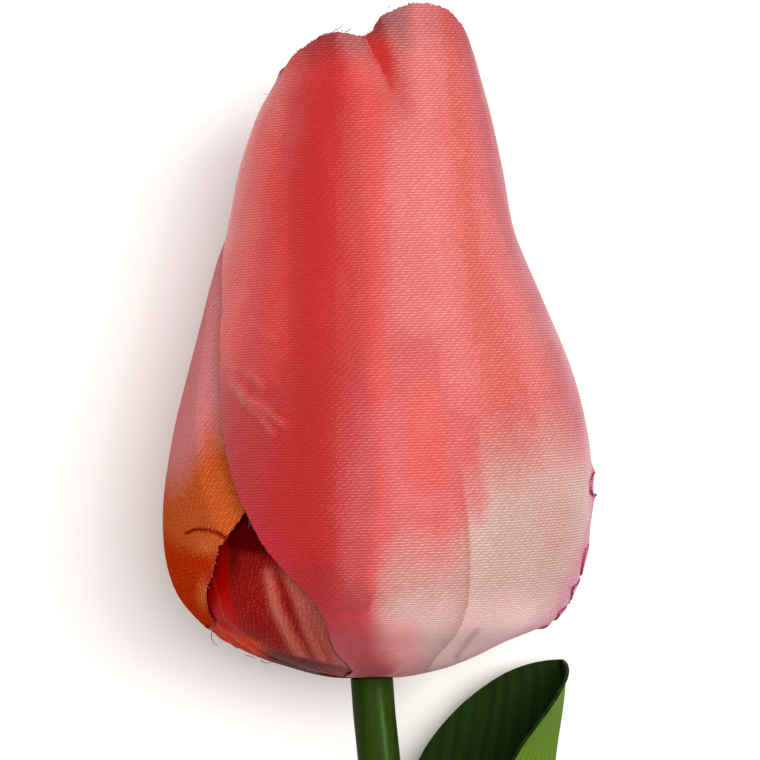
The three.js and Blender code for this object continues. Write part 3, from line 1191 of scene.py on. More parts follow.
    def fringe(self, sheet: Sheet) -> bpy.types.Object:
        """Makes the short threads that stick out of the petal's cut edges, and its loose ones.

        Args:
            sheet: The petal's cloth.

        Returns:
            One object that holds them all.
        """
        missing, long_share, long_factor = 0.25, 0.06, 2.2
        margin, scatter, root_depth, loose_radius = 0.4, 0.12, 0.15, 0.055
        chance = np.random.default_rng(self.seed + 50)
        strands = Strands(self.node + "_fringe")
        facing = sheet.normals()
        middle = sheet.outer - facing * self.thickness / 2
        borders = (
            (middle[:, 0], middle[:, 0] - middle[:, 2], facing[:, 0]),
            (middle[-1], middle[-1] - middle[-3], facing[-1]),
            (middle[::-1, -1], (middle[:, -1] - middle[:, -3])[::-1], facing[::-1, -1]),
        )
        for line, outward, normal in borders:
            length = np.concatenate([[0], np.cumsum(np.linalg.norm(np.diff(line, axis=0), axis=1))])
            for at in np.arange(margin, length[-1] - margin / 2, self.fringe_every):
                if chance.random() < missing:
                    continue
                at += chance.uniform(-scatter, scatter)
                root, out, lift = (
                    np.array([np.interp(at, length, values[:, c]) for c in range(3)])
                    for values in (line, outward, normal)
                )
                out /= max(np.linalg.norm(out), 1e-9)
                along = np.cross(out, lift)
                reach = self.fringe_length * chance.uniform(0.35, 1.0)
                if chance.random() < long_share:
                    reach *= long_factor
                lean = chance.normal(0, 0.45)
                curl = chance.normal(0, 0.25)
                strands.add(
                    [
                        root - root_depth * out,
                        root + 0.45 * reach * (out + lean * along),
                        root + reach * (out + 1.6 * lean * along + curl * lift),
                    ],
                    chance.uniform(0.04, 0.07),
                )
        for path in self.loose:
            strands.add(self.loose_thread(path), loose_radius)
        made = strands.build()
        filament = FrayedThread(f"polyester filament, cut, {self.node}", self.fringe_colour)
        made.data.materials.append(filament.material())
        return made

    def build(self) -> bpy.types.Object:
        """Returns:
            The petal, without its fringe.
        """
        sheet = self.sheet()
        piece = sheet.build(self.node + "_satin")
        satin = self.finish.material()
        piece.data.materials.append(satin)
        piece.data.materials.append(satin)
        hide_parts(self.node)
        fringe = self.fringe(sheet)
        area = sheet.flat_area()
        return piece


FRONT_EDGES: Rows = (
    (0, -48, 112), (0.4, -22, 103), (1.2, -12, 97), (3, -12, 95), (5, -14.8, 94.3),
    (7.4, -16.2, 93.6), (9.4, -19, 93), (11.4, -24.2, 92.4), (13.7, -29.8, 91.8), (17.5, -36.8, 91),
    (22, -44, 96), (29, -52.7, 100), (35, -59.5, 100), (39, -64.5, 100), (43, -76, 100),
    (47, -88, 100), (58, -92, 98), (71, -92, 97),
)


@dataclass
class FrontPetal(Petal):
    """The big front petal, with two lobes at its top, a pleat, creases and a torn right edge.

    Attributes:
        torn_outline: Its torn right edge where it meets the ground in view: height, x.
        creases: The creases near its left edge, along whose crests highlights are painted.
        dent: The crease low on the right, along which shade is painted.
        inner_edge: The line where an inner petal's edge shows through: height, x.
        faint_edge: A second, fainter line of that kind.
        pleat_line: The sharp lip of the pleat at the top: height, x.
        stain: The outline of the patch stained by glue, as places (x, z).
    """

    torn_outline: Rows = (
        (4.6, 17.5), (5.5, 18.34), (6.1, 18.95), (6.75, 19.1), (7.0, 19.3), (7.4, 20.0),
        (7.75, 20.5), (8.2, 20.43), (9.3, 20.43), (9.75, 21.1), (10.3, 21.38), (11.2, 21.45),
        (12.7, 21.72), (13.2, 21.78), (13.5, 22.38), (15.54, 22.5), (17.06, 22.72), (18.1, 22.85),
        (18.65, 23.1), (18.85, 22.9), (19.0, 22.32), (20.0, 22.36), (20.5, 22.3), (20.7, 22.8),
        (21.0, 23.1), (21.7, 22.76), (22.2, 22.66), (23.4, 22.47),
    )
    creases: tuple[Fold, ...] = (
        Fold(((-15.3, 31.3), (-12.9, 28.7), (-10.5, 27.3), (-7.8, 24.8)), 0.5, 0.2),
        Fold(((-13.9, 30.5), (-13.1, 28.4), (-11.1, 26.2), (-9.5, 24.2)), 0.45, 0.17),
        Fold(((-13.6, 32.0), (-12.0, 30.7), (-10.2, 29.0)), 0.5, 0.15),
        Fold(((-15.4, 34.0), (-14.5, 32.2), (-13.5, 30.7)), 0.5, 0.12),
        Fold(((-13.3, 37.6), (-11.5, 35.8), (-8.8, 34.0)), 0.55, 0.1),
        Fold(((-13.8, 40.5), (-12.4, 38.6), (-10.4, 37.2)), 0.6, 0.08),
        Fold(((-15.0, 23.6), (-13.3, 21.9)), 0.6, 0.12),
    )
    dent: Fold = Fold(((10.8, 4.7), (8.6, 2.0)), 0.3, -0.06)
    inner_edge: Rows = (
        (0.8, 5.8), (2.1, 6.7), (4.2, 8.6), (6.8, 9.7), (8.6, 9.95), (11.9, 10.05), (14.9, 9.86),
        (17.9, 9.5), (20.6, 9.1), (24.4, 8.6),
    )
    faint_edge: Rows = ((18.2, 11.7), (21.2, 11.2), (24.0, 10.6), (27.5, 9.7))
    pleat_line: Rows = (
        (56.0, 3.4), (59.7, 2.49), (60.7, 1.73), (62.1, 1.1), (63.7, 0.31), (65.4, -0.65),
        (66.6, -1.14), (70.0, -2.2),
    )
    stain: Path = (
        (-9.1, 11.5), (-4.5, 12.0), (-2.9, 11.0), (-0.8, 9.4), (0.5, 8.1), (-0.3, 6.6), (-3.4, 6.2),
        (-6.3, 6.6),
    )

    def places(self) -> np.ndarray:
        """Columns that lie closer together where the creases and the pleat are."""
        fine = np.linspace(-1, 1, 2001)
        return spaced(fine, 1.0 + 1.1 * hump(fine + 0.35, 0.45) + 0.8 * (fine > 0.93), self.columns)

    def torn_edge(self, height: np.ndarray) -> tuple[np.ndarray, np.ndarray]:
        """Where the right edge is torn.

        Args:
            height: Heights up the bud.

        Returns:
            The azimuth of the edge, and how far it flares out past the bud's form.
        """
        row = BUD.row_at(height)
        half = BUD.half_width(row)
        share = (broken(self.torn_outline, height) - BUD.centre(row)) / half
        torn = np.where(share < 1, np.degrees(np.arcsin(np.clip(share, 0, 1))), 90.0)
        within = smooth(height, 4.8, 5.5) * smooth(height, 23.4, 22.0)
        cut = through(self.edges, height, 2)
        return mix(cut, torn, within), within * np.maximum(share - 1, 0) * half

    def tear(self, height: np.ndarray) -> np.ndarray:
        """From its cut right edge to its torn one."""
        return self.torn_edge(height)[0] - through(self.edges, height, 2)

    def inset(self, height: np.ndarray, azimuth: np.ndarray) -> np.ndarray:
        """The soft valley round the pleat at the top."""
        middle = 8 - 2 * (height - 58.5)
        return 0.6 * smooth(height, 56, 65) * hump(azimuth - middle + 1, 11)

    def relief(self, at: Places) -> np.ndarray:
        """Creases, the sharp valley of the pleat, the inner petal's edge and the torn flares.

        Args:
            at: Places on the petal.

        Returns:
            How far each place stands proud.
        """
        x, height, azimuth = at.x, at.height, at.azimuth
        raised = super().relief(at)
        for crease in (*self.creases, self.dent):
            raised = raised + crease.height(x, height)
        past = x - through(self.pleat_line, height)
        fall = np.where(past < 0, 0.32 * np.exp(past / 1.3), 0.5 * np.exp(-past / 1.9))
        raised = raised - fall * smooth(height, 57, 63)
        hidden = x - through(self.inner_edge, height)
        step = 0.14 * smooth(hidden, -0.35, 0.35) * smooth(hidden, 4.5, 0.5)
        step = step * smooth(height, 24, 16) * smooth(height, 0.5, 3)
        raised = raised - step * mix(1.0, 0.35, smooth(height, 12, 17))
        edge, flare = self.torn_edge(height)
        return raised + flare * smooth(azimuth, edge - 4, edge)

    def paleness(self, at: Places) -> np.ndarray:
        """The cream at the base, which reaches higher right of the inner petal's edge.

        Args:
            at: Places on the petal.

        Returns:
            The strength of the cream dye at each place.
        """
        x, height = at.x, at.height
        hidden = x - through(self.inner_edge, height)
        faint = x - through(self.faint_edge, height)
        beyond = smooth(hidden, -0.25, 0.35) * smooth(height, 27, 20)
        low = mix(-0.9, 0.5 * smooth(height, 9, 3) - 0.6, smooth(height, 0.6, 2.2))
        pale_right = smooth(height - 0.2 * (x - 12), 33.5, 12)
        pale_left = 0.88 * smooth(x, low - 3.5, low + 3.6) - 0.12 * smooth(x, 7.5, -1.0)
        pale_left = np.maximum(pale_left, 0.0) * smooth(height, 20, 4)
        pale = mix(pale_left, pale_right, np.maximum(beyond, smooth(x, 7, 13)))
        return pale * mix(mix(1.0, 0.5, smooth(height, 13, 19)), 1.0, smooth(faint, -0.6, 1.0))

    def red_band(self, at: Places) -> np.ndarray:
        """The deeper red band that runs up the petal, left of its middle.

        Args:
            at: Places on the petal.

        Returns:
            1 inside the band, falling to 0 at its blurred sides.
        """
        x, height = at.x, at.height
        shift = mix(0.0, 2.4, smooth(height, 52, 64)) - 1.1 * hump(height - 20.5, 8.0)
        fade = 1.9 * smooth(height, 52, 64)
        band = smooth(x, -10.5, -7.2) * smooth(x + shift, 1.3 + fade, -2.2 - fade)
        return band * smooth(height, 68, 58)

    def pleat(self, at: Places) -> tuple[np.ndarray, np.ndarray]:
        """The two sides of the pleat's sharp lip.

        Args:
            at: Places on the petal.

        Returns:
            How far each place lies in the valley right of the lip, where shade is painted, and on the
            ridge left of it, where a highlight is painted.
        """
        x, height = at.x, at.height
        past = x - through(self.pleat_line, height)
        valley = smooth(past, -0.1, 0.2) * smooth(x, 3.1, 1.7) * smooth(height, 58.5, 61)
        ridge = smooth(past, -4.6, -0.6) * smooth(past, 0.05, -0.2) * smooth(height, 58, 62)
        return valley * smooth(height, 68, 64), ridge

    def painted_highlight_strength(self, at: Places) -> np.ndarray:
        """Painted highlights in pale pink: right of the middle, on the pleat's ridge, a lobe and the
        creases.

        Args:
            at: Places on the petal.

        Returns:
            The strength of the painted highlight at each place.
        """
        x, height, azimuth = at.x, at.height, at.azimuth
        side = smooth(azimuth, 12, 26) * smooth(height, 20, 32)
        lit = smooth(x, -0.5, 3.0) * smooth(height, 32, 38) * smooth(height, 62, 54)
        lit = lit * (0.5 + 0.3 * hump(x - 8.0, 2.5))
        lobe = hump(np.hypot(x + 9.6, (height - 60.5) / 2.4), 1.9)
        crests = np.maximum.reduce([5 * c.rise * c.cover(x, height) for c in self.creases])
        wear_and_painted_glint = 0.8 + 0.15 * ripple(self.seed + 33, x / 1.1, height / 1.1)
        ridge = self.pleat(at)[1]
        return np.maximum.reduce([0.65 * side, 0.3 * ridge, lit, 0.45 * lobe, 0.7 * wear_and_painted_glint * crests])

    def torn_rim(self, at: Places) -> np.ndarray:
        """The bruised rim along the torn right edge, wider low down.

        Args:
            at: Places on the petal.

        Returns:
            1 at the edge, falling to 0 where the rim ends.
        """
        height, azimuth = at.height, at.azimuth
        inward = np.radians(86 - azimuth) * BUD.half_width(BUD.row_at(height))
        reach = mix(5.5, 13.5, smooth(height, 17.0, 11.5))
        reach = reach + ripple(self.seed + 34, azimuth / 9, height / 2)
        return smooth(inward, reach, 0.5) ** 1.4 * smooth(height, 2.5, 6.0)

    def outside_stain(self, at: Places) -> np.ndarray:
        """How far places lie from the outline of the glue stain.

        Args:
            at: Places on the petal.

        Returns:
            The distance of each place, below 0 inside the stain.
        """
        x, height = at.x, at.height
        ring = [*self.stain, self.stain[0]]
        distance = to_path(x, height, ring)
        within = np.zeros(np.shape(x), bool)
        for (ax, az), (bx, bz) in zip(ring, ring[1:]):
            crosses = (az > height) != (bz > height)
            within ^= crosses & (x < ax + (height - az) * (bx - ax) / ((bz - az) or 1e-9))
        return np.where(within, -distance, distance)

    def zones(self, at: Places) -> dict[str, np.ndarray]:
        """Deep red left of the middle, rose to its right, cream low down, bruised side edges, and
        painted highlights, sheen, light and shade.

        Args:
            at: Places on the petal.

        Returns:
            For each dye and each painted light or shade, by name, its strength from 0 to 1 at each
            place.
        """
        x, height, azimuth, rim = at.x, at.height, at.azimuth, at.rim
        left = azimuth < 20
        pale = self.paleness(at)
        band = self.red_band(at)
        # Painted shade in the pleat's valley.
        valley = self.pleat(at)[0]
        torn = self.torn_rim(at)
        blotch = hump(np.hypot(x - 5.2, (height - 24.5) / 3.0), 3.0)
        bruise = smooth(rim, mix(7.5, 4.6, smooth(height, 5, 9)), 1.0)
        hidden = x - through(self.inner_edge, height)
        shadow = np.where(hidden < 0, np.exp(hidden / 1.6), 0.0) * smooth(height, 21, 10)
        # Painted shade along the dent and where the petal turns away low on the right.
        dent = hump(to_path(x, height, self.dent.path), 0.4)
        rounding = smooth(x, 13.5, 20.5) * smooth(height, 24, 16) * (1 - torn)
        ragged = 0.35 * ripple(self.seed + 30, x / 0.8, height / 0.8)
        glue = smooth(ragged - self.outside_stain(at), -0.3, 0.5)
        dusk = smooth(height, 60.5, 68.5) * (1 - valley) * (1 - 0.6 * smooth(x, 2.0, 5.0))
        # Painted light: a lighter pink low in the middle, where the petal turns down.
        bloom = smooth(x, -1.4, 1.6) * smooth(x, 8.0, 2.5) * smooth(height, 8.5, 2.5)
        return {
            # Partly painted highlight: a pinker red right of the middle, under the real highlight.
            "rose": smooth(x, -0.6, 3.2) * (1 - 0.8 * blotch),
            # Painted sheen: a paler red on the upper left, where the cloth turns away.
            "haze": smooth(azimuth, -38, -58) * smooth(height + 0.25 * azimuth, 14, 21),
            "wine": smooth(x, -2.5, -8.0) * smooth(height, 37, 25),
            # Painted highlights: right of the middle, on the pleat's ridge, the left lobe and the
            # crease crests.
            "blush": self.painted_highlight_strength(at),
            "cream": pale,
            # Painted light: a lighter cream at the very base, which turns away from the lamps.
            "chalk": 0.8 * pale * smooth(height, 11.5, 3.5),
            "bloom": 0.55 * bloom,
            # The deep red band, and painted shade in the pleat's valley.
            "deep": np.maximum(band * smooth(height, 2, 12), 0.65 * valley),
            # Painted shade on the lower part of the red band.
            "depth": 0.32 * band * smooth(height, 46, 28) * smooth(height, 4, 12),
            # Painted shade and reflection: a darker, purplish red where the right side turns away.
            "mauve": smooth(azimuth, 44, 78) * smooth(height, 16, 30),
            "dusk": 0.85 * dusk,
            "crimson": bruise * smooth(height, 24, 12) * left,
            "magenta": torn * smooth(height, 24, 19) * ~left,
            # Painted shade beside the inner petal's edge, along the dent and low on the right.
            "shadow": np.maximum.reduce([0.6 * shadow, 0.5 * dent, 0.5 * rounding]),
            "glue": 0.85 * glue,
        }


LEFT_FRONT_EDGE: Rows = (
    (0, -112), (0.9, -114), (2.6, -114), (4.3, -104), (5.2, -86), (5.6, -68), (6.08, -63.6),
    (6.72, -62.3), (8.34, -57.6), (9.94, -54.1), (10.75, -50.9), (11.85, -49.1), (13.26, -46.8),
    (13.95, -46.0), (14.2, -44.4), (14.6, -43.9), (15.46, -42.7), (17.0, -40.2), (17.9, -38.4),
    (19.5, -36.2), (23, -36), (30, -42), (40, -55), (50, -66), (65, -78),
)


@dataclass
class LeftPetal(Petal):
    """The outer petal on the left, pink above, partly painted sheen, and orange below, with a pucker
    near its edge.

    Attributes:
        corner: Heights of its notched corner and of its top.
        pucker: The line of the pucker, as places (x, z).
    """

    corner: tuple[float, float] = (13.6, 62.0)
    pucker: Path = (
        (-19.4, 14.8), (-18.4, 15.2), (-17.0, 15.1), (-15.9, 14.7), (-15.2, 14.2), (-14.9, 13.7),
    )

    def levels(self) -> np.ndarray:
        """Rows that lie closer together where the pucker and the notched corner are.

        Returns:
            The shares of the way up, from 0 to 1, of the grid's rows.
        """
        fine = np.linspace(0, 1, 1001)
        corner, top = BUD.arc_at(BUD.row_at(np.array(self.corner)))
        return spaced(fine, 1.0 + 3.0 * hump(fine - corner / top, 0.035), self.rows)

    def side_edges(self, height: np.ndarray) -> tuple[np.ndarray, np.ndarray]:
        """Azimuths of its back edge and of its front one, whose corner is notched."""
        return through(self.edges, height, 1), broken(LEFT_FRONT_EDGE, height)

    def inset(self, height: np.ndarray, azimuth: np.ndarray) -> np.ndarray:
        """It tucks under the front petal and, at the back, under the right one.

        Args:
            height: Heights up the bud.
            azimuth: Degrees about the bud.

        Returns:
            How deep each place lies below the bud's form.
        """
        edge = through(FRONT_EDGES, height)
        under_front = smooth(azimuth - edge, -14, -3)
        under_right = smooth(azimuth, -136, -152)
        return -0.12 + 1.25 * under_front + 1.8 * under_right

    def relief(self, at: Places) -> np.ndarray:
        """The pucker: a sharp groove with a soft lip below it.

        Args:
            at: Places on the petal.

        Returns:
            How far each place stands proud.
        """
        x, height, azimuth = at.x, at.height, at.azimuth
        raised = super().relief(at)
        near = azimuth > -100
        groove = hump(to_path(x, height, self.pucker), 0.3)
        lip = hump(to_path(x, height + 1.0, self.pucker), 0.7)
        return raised + near * (0.2 * lip - 0.12 * groove)

    def zones(self, at: Places) -> dict[str, np.ndarray]:
        """Golden orange from the middle down, a stronger orange at the base, painted shade in the
        groove.

        Args:
            at: Places on the petal.

        Returns:
            For each dye and each painted light or shade, by name, its strength from 0 to 1 at each
            place.
        """
        x, height, azimuth = at.x, at.height, at.azimuth
        near = azimuth > -110
        turned = smooth(x, -20.5, -16.5)
        gold = smooth(height - 5 * turned, 25, 15)
        spots = ripple(self.seed + 31, x / 2.2, height / 2.2)
        ember = smooth(height + 0.3 * (x + 20) + 0.8 * spots, 15.8, 11.5)
        # Painted shade in the pucker's groove.
        groove = near * hump(to_path(x, height, self.pucker), 0.2)
        patch = near * hump(np.hypot((x + 17.1) / 1.7, height - 13.4), 1.0)
        strip = near * hump(np.hypot(x + 17.6, (height - 8.6) / 2.5), 0.75)
        return {
            "gold": gold,
            "ember": ember,
            "tan": np.maximum(0.9 * patch, 0.8 * strip),
            "groove": 0.9 * groove,
        }


@dataclass
class InnerLeftPetal(Petal):
    """The inner petal in the gap at the lower left, with two soft ridges and a torn lower rim.

    Attributes:
        ridges: The two ridges.
        notch_line: The left border of the notch, where shade is painted: height, x.
        lower_rim: The torn lower rim that shows above the floor: x, height.
        vein: A thin orange line at the left, as places (x, z).
    """

    ridges: tuple[Fold, ...] = (
        Fold(((-10.9, 10.9), (-10.1, 7.1), (-8.5, 3.9), (-7.2, 1.8)), 0.5, 0.26),
        Fold(((-9.2, 11.3), (-7.9, 8.4), (-6.8, 5.1), (-5.2, 1.8)), 0.6, 0.26),
    )
    notch_line: Rows = ((4.0, -13.0), (6.2, -14.1), (8.9, -14.9), (13.0, -15.2))
    lower_rim: Rows = ((-17.5, 5.6), (-14, 3.7), (-9.5, 2.35), (-5.0, 1.2), (-2, 0.6))
    vein: Path = ((-16.6, 10.4), (-16.2, 8.6), (-15.4, 5.8))

    def inset(self, height: np.ndarray, azimuth: np.ndarray) -> np.ndarray:
        """It lies shallow in the gap and deep where the outer petals cover it.

        Args:
            height: Heights up the bud.
            azimuth: Degrees about the bud.

        Returns:
            How deep each place lies below the bud's form.
        """
        exposed = mix(-0.05, 1.3, smooth(height, 5.2, 11.5))
        past = azimuth - broken(LEFT_FRONT_EDGE, height)
        shallow = mix(0.2, 0.35, smooth(height, 7, 10))
        covered = shallow * smooth(past, 5, 1) + 0.95 * smooth(past, -0.5, -8)
        claw = mix(0.28, 1.6, smooth(height, 1.8, 5.5))
        shown = mix(np.maximum(exposed, covered), claw, smooth(azimuth, -52, -24))
        left = mix(shown, 2.6, smooth(height, 8, 17))
        return mix(left, 3.8, smooth(azimuth, -16, 20))

    def relief(self, at: Places) -> np.ndarray:
        """The two ridges that run down to the petal's claw.

        Args:
            at: Places on the petal.

        Returns:
            How far each place stands proud.
        """
        x, height, azimuth = at.x, at.height, at.azimuth
        raised = super().relief(at)
        for ridge in self.ridges:
            raised = raised + ridge.height(x, height) * (np.abs(azimuth) < 80)
        ragged = 0.2 * ripple(self.seed + 8, azimuth / 3.2, height / 3)
        ragged = ragged + 0.1 * ripple(self.seed + 9, azimuth / 1.2, height)
        low = smooth(height, 6.2, 4.8) * smooth(azimuth, -46, -56) * smooth(azimuth, -104, -96)
        return raised + ragged * low

    def zones(self, at: Places) -> dict[str, np.ndarray]:
        """Dark red painted shade in the notch, bright red painted light shining through at the left,
        orange at the left and below, pink painted highlights on the ridges.

        Args:
            at: Places on the petal.

        Returns:
            For each dye and each painted light or shade, by name, its strength from 0 to 1 at each
            place.
        """
        x, height = at.x, at.height
        past = x - through(self.notch_line, height)
        # Painted shade in the dark notch.
        notch = smooth(height + 0.15 * (x + 13.0), 12.0, 13.6) * smooth(past, -0.3, 0.5)
        notch = np.maximum(notch, 0.6 * smooth(past, 0.0, 0.5) * smooth(past, 1.7, 0.8))
        # Painted light shining through the cloth left of the notch.
        glow = smooth(past, 0.4, -0.4)
        above = height - through(self.lower_rim, x)
        # A darker line along the lower rim.
        dark_rim_line = smooth(above, 0.25, -0.1) * smooth(x, -2.5, -7.0)
        amber = smooth(above, 1.1, 0.2) * smooth(x, -9.5, -13.0)
        vein = hump(to_path(x, height, self.vein), 0.11)
        # Painted highlights along the ridges and on the right.
        pale = np.maximum.reduce([hump(to_path(x, height, r.path), 0.75) for r in self.ridges])
        pale = np.maximum(pale, smooth(x + 0.55 * (height - 5), -7.2, -5.7))
        return {
            # Painted highlights on the ridges.
            "ridge": 0.85 * pale * smooth(height, 13.0, 10.0) * smooth(above, -0.1, 0.35),
            # Painted shade in the notch, and the darker line along the lower rim.
            "notch": np.maximum(notch * smooth(height, 8, 13), dark_rim_line),
            # Painted light shining through the cloth at the left.
            "glow": glow * smooth(height, 15.0, 13.5),
            "amber": np.maximum(amber, 0.75 * vein),
        }


@dataclass
class HiddenPetal(Petal):
    """A petal that the others cover, seen only from the sides, the back or the top.

    Attributes:
        depths: Its depth below the bud's form on its left and its right, and the two azimuths
            between which that changes.
    """

    depths: tuple[float, float, float, float] = (1.7, 0.5, 108, 130)

    def inset(self, height: np.ndarray, azimuth: np.ndarray) -> np.ndarray:
        """One depth on its left, another on its right."""
        before, past, start, end = self.depths
        return mix(before, past, smooth(azimuth, start, end))

    def zones(self, at: Places) -> dict[str, np.ndarray]:
        """Cream towards its base and crimson along its cut edges."""
        base = at.height + 3 * ripple(self.seed + 40, at.azimuth / 14)
        return {"cream": smooth(base, 27, 9), "crimson": smooth(at.rim, 1.8, 0.2) * 0.8}


# The front petal gives the eye a coral red that fades to cream below and bruises at the torn edge;
# its list also holds painted highlights, sheen, light and shade.
OUTER_SATIN = WovenSatin(
    "polyester satin, woven and airbrushed coral red",
    "#c62a26",
    (
        # pinker red right of the middle, partly painted highlight
        ("rose", "#bd4640"),
        # painted sheen on the upper left
        ("haze", "#d04a40"),
        ("wine", "#b60000"),
        # painted highlights, a pale pink
        ("blush", "#c8706a"),
        ("cream", "#bc9f98"),
        # painted light on the cream at the base
        ("chalk", "#dcbab8"),
        # painted light low in the middle
        ("bloom", "#e88488"),
        # deep red band, and painted shade in the pleat's valley
        ("deep", "#bc0404"),
        # painted shade on the lower part of the band
        ("depth", "#a40202"),
        # painted shade and purplish reflection on the right side
        ("mauve", "#ae2442"),
        ("dusk", "#902e36"),
        ("crimson", "#b80c30"),
        ("magenta", "#ac0860"),
        ("shadow", "#a8786c"),
        ("glue", "#ae0a12"),
    ),
)
# The left petal gives the eye a dusty pink, partly painted sheen, that runs into orange, with hardly
# any shine, and painted shade in the groove of its pucker.
LEFT_SATIN = WovenSatin(
    "polyester satin, woven and airbrushed pink and orange",
    # dusty pink body, partly painted sheen
    "#cf8c8e",
    (
        ("gold", "#c26a3a"),
        ("ember", "#ba4414"),
        ("tan", "#c87844"),
        # painted shade in the pucker's groove
        ("groove", "#842006"),
    ),
    sheen_weight=0.0,
    gloss=0.0,
)
# The inner petal in the gap gives the eye a dark, dull red with glowing orange borders; its notch
# holds painted shade, its left border painted light and its ridges painted highlights.
INNER_SATIN = WovenSatin(
    "polyester satin, woven and dyed dark red",
    "#9c2a22",
    (
        # painted highlights on the ridges
        ("ridge", "#c07064"),
        # painted shade in the notch, and a darker line along the lower rim
        ("notch", "#740402"),
        # painted light shining through at the left
        ("glow", "#b80c00"),
        ("amber", "#d04810"),
    ),
    sheen_weight=0.0,
    gloss=0.02,
)
# The petals at the back give the eye a plain red that fades to cream near the stem.
PLAIN_SATIN = WovenSatin(
    "polyester satin, woven and airbrushed red to cream",
    "#b83c38",
    (("cream", "#b9998f"), ("crimson", "#8e2038")),
)


@dataclass
class Bloom:
    """The closed bud: three outer petals and three inner ones, with their loose threads.

    Attributes:
        petals: The petals, from the front one inwards.
    """

    petals: tuple[Petal, ...] = (
        FrontPetal(
            "petal_front", 0.0, 180, 236, FRONT_EDGES,
            (
                (-1, 56.55), (-0.84, 59.95), (-0.763, 62.25), (-0.714, 63.25), (-0.64, 64.25),
                (-0.54, 65.05), (-0.466, 65.62), (-0.39, 66.05), (-0.31, 66.35), (-0.2, 66.25),
                (-0.131, 66.19), (-0.1, 66.35), (-0.055, 66.7), (-0.03, 67.35), (0.0105, 68),
                (0.0614, 68.39), (0.144, 68.98), (0.23, 69.25), (0.373, 69.4), (0.47, 69.11),
                (0.566, 68.63), (0.651, 67.85), (0.744, 66.85), (0.82, 65.35), (0.9, 63.15),
                (1, 60.05),
            ),
            OUTER_SATIN, thread_turn=1.5, fray=0.09, seed=3,
            loose=(
                ((-4.1, 66.4), (-3.4, 66.8), (-2.87, 67.3)),
                ((-2.9, 66.3), (-2.4, 66.55), (-2.07, 66.75)),
                ((-9.5, 62.2), (-9.85, 62.25)),
                ((1.6, 68.8), (1.8, 69.15)),
                ((5.4, 69.8), (5.6, 70.05)),
                ((-11.0, 60.1), (-11.3, 60.2)),
            ),
        ),
        HiddenPetal(
            "petal_right", 0.0, 120, 170,
            (
                (0, 85, 205), (2, 78, 201), (6, 72, 203), (20, 70, 205), (45, 66, 206),
                (65, 72, 198),
            ),
            ((-1, 57), (-0.8, 61.5), (-0.4, 64.6), (0, 65.5), (0.4, 64), (0.8, 60.5), (1, 56)),
            PLAIN_SATIN, thread_turn=-3, seed=5,
        ),
        LeftPetal(
            "petal_left", 1.0, 150, 200,
            (
                (0, -205, -112), (0.9, -190, -114), (2.6, -180, -114), (4.4, -176, -104),
                (13.5, -178, -44.5), (30, -178, -42), (40, -176, -55), (50, -174, -66),
                (65, -168, -78),
            ),
            ((-1, 55), (-0.8, 59.5), (-0.4, 62.6), (0, 63.6), (0.4, 62.6), (0.8, 59.5), (1, 55)),
            LEFT_SATIN, thread_turn=35, fray=0.05, seed=7, fringe_colour="#a8402a",
            fringe_length=0.2,
        ),
        InnerLeftPetal(
            "inner_petal_left", 2.0, 150, 190,
            ((0, -104, 42), (2, -102, 46), (6, -100, 46), (30, -104, 45), (62, -96, 40)),
            ((-1, 50), (-0.7, 57), (0, 61), (0.7, 57), (1, 50)),
            INNER_SATIN, thread_turn=36, seed=9, fringe_colour="#7c2418",
            loose=(
                ((-16.3, 5.3), (-16.62, 4.46), (-16.4, 3.67), (-15.95, 3.38)),
                ((-13.1, 2.3), (-12.54, 2.18), (-12.03, 1.97)),
                ((-14.4, 3.4), (-14.0, 3.1), (-13.6, 3.15)),
                ((-5.9, 0.62), (-5.65, 0.36)),
                ((-11.6, 1.75), (-11.0, 1.5), (-10.4, 1.6)),
            ),
        ),
        HiddenPetal(
            "inner_petal_right", 3.0, 80, 100,
            ((0, 30, 152), (2, 30, 150), (25, 26, 150), (62, 30, 146)),
            ((-1, 48), (-0.7, 55), (0, 58.5), (0.7, 55), (1, 48)),
            PLAIN_SATIN, seed=13, depths=(2.6, 3.8, 60, 126),
        ),
        HiddenPetal(
            "inner_petal_back", 2.0, 80, 100,
            ((0, 132, 266), (2, 133, 268), (30, 133, 272), (62, 138, 266)),
            ((-1, 47), (-0.7, 54), (0, 57.5), (0.7, 54), (1, 47)),
            PLAIN_SATIN, seed=17, depths=(2.6, 3.7, 165, 240),
        ),
    )

    def build(self) -> list[bpy.types.Object]:
        """Makes all the petals."""
        return [petal.build() for petal in self.petals]


# The leaf


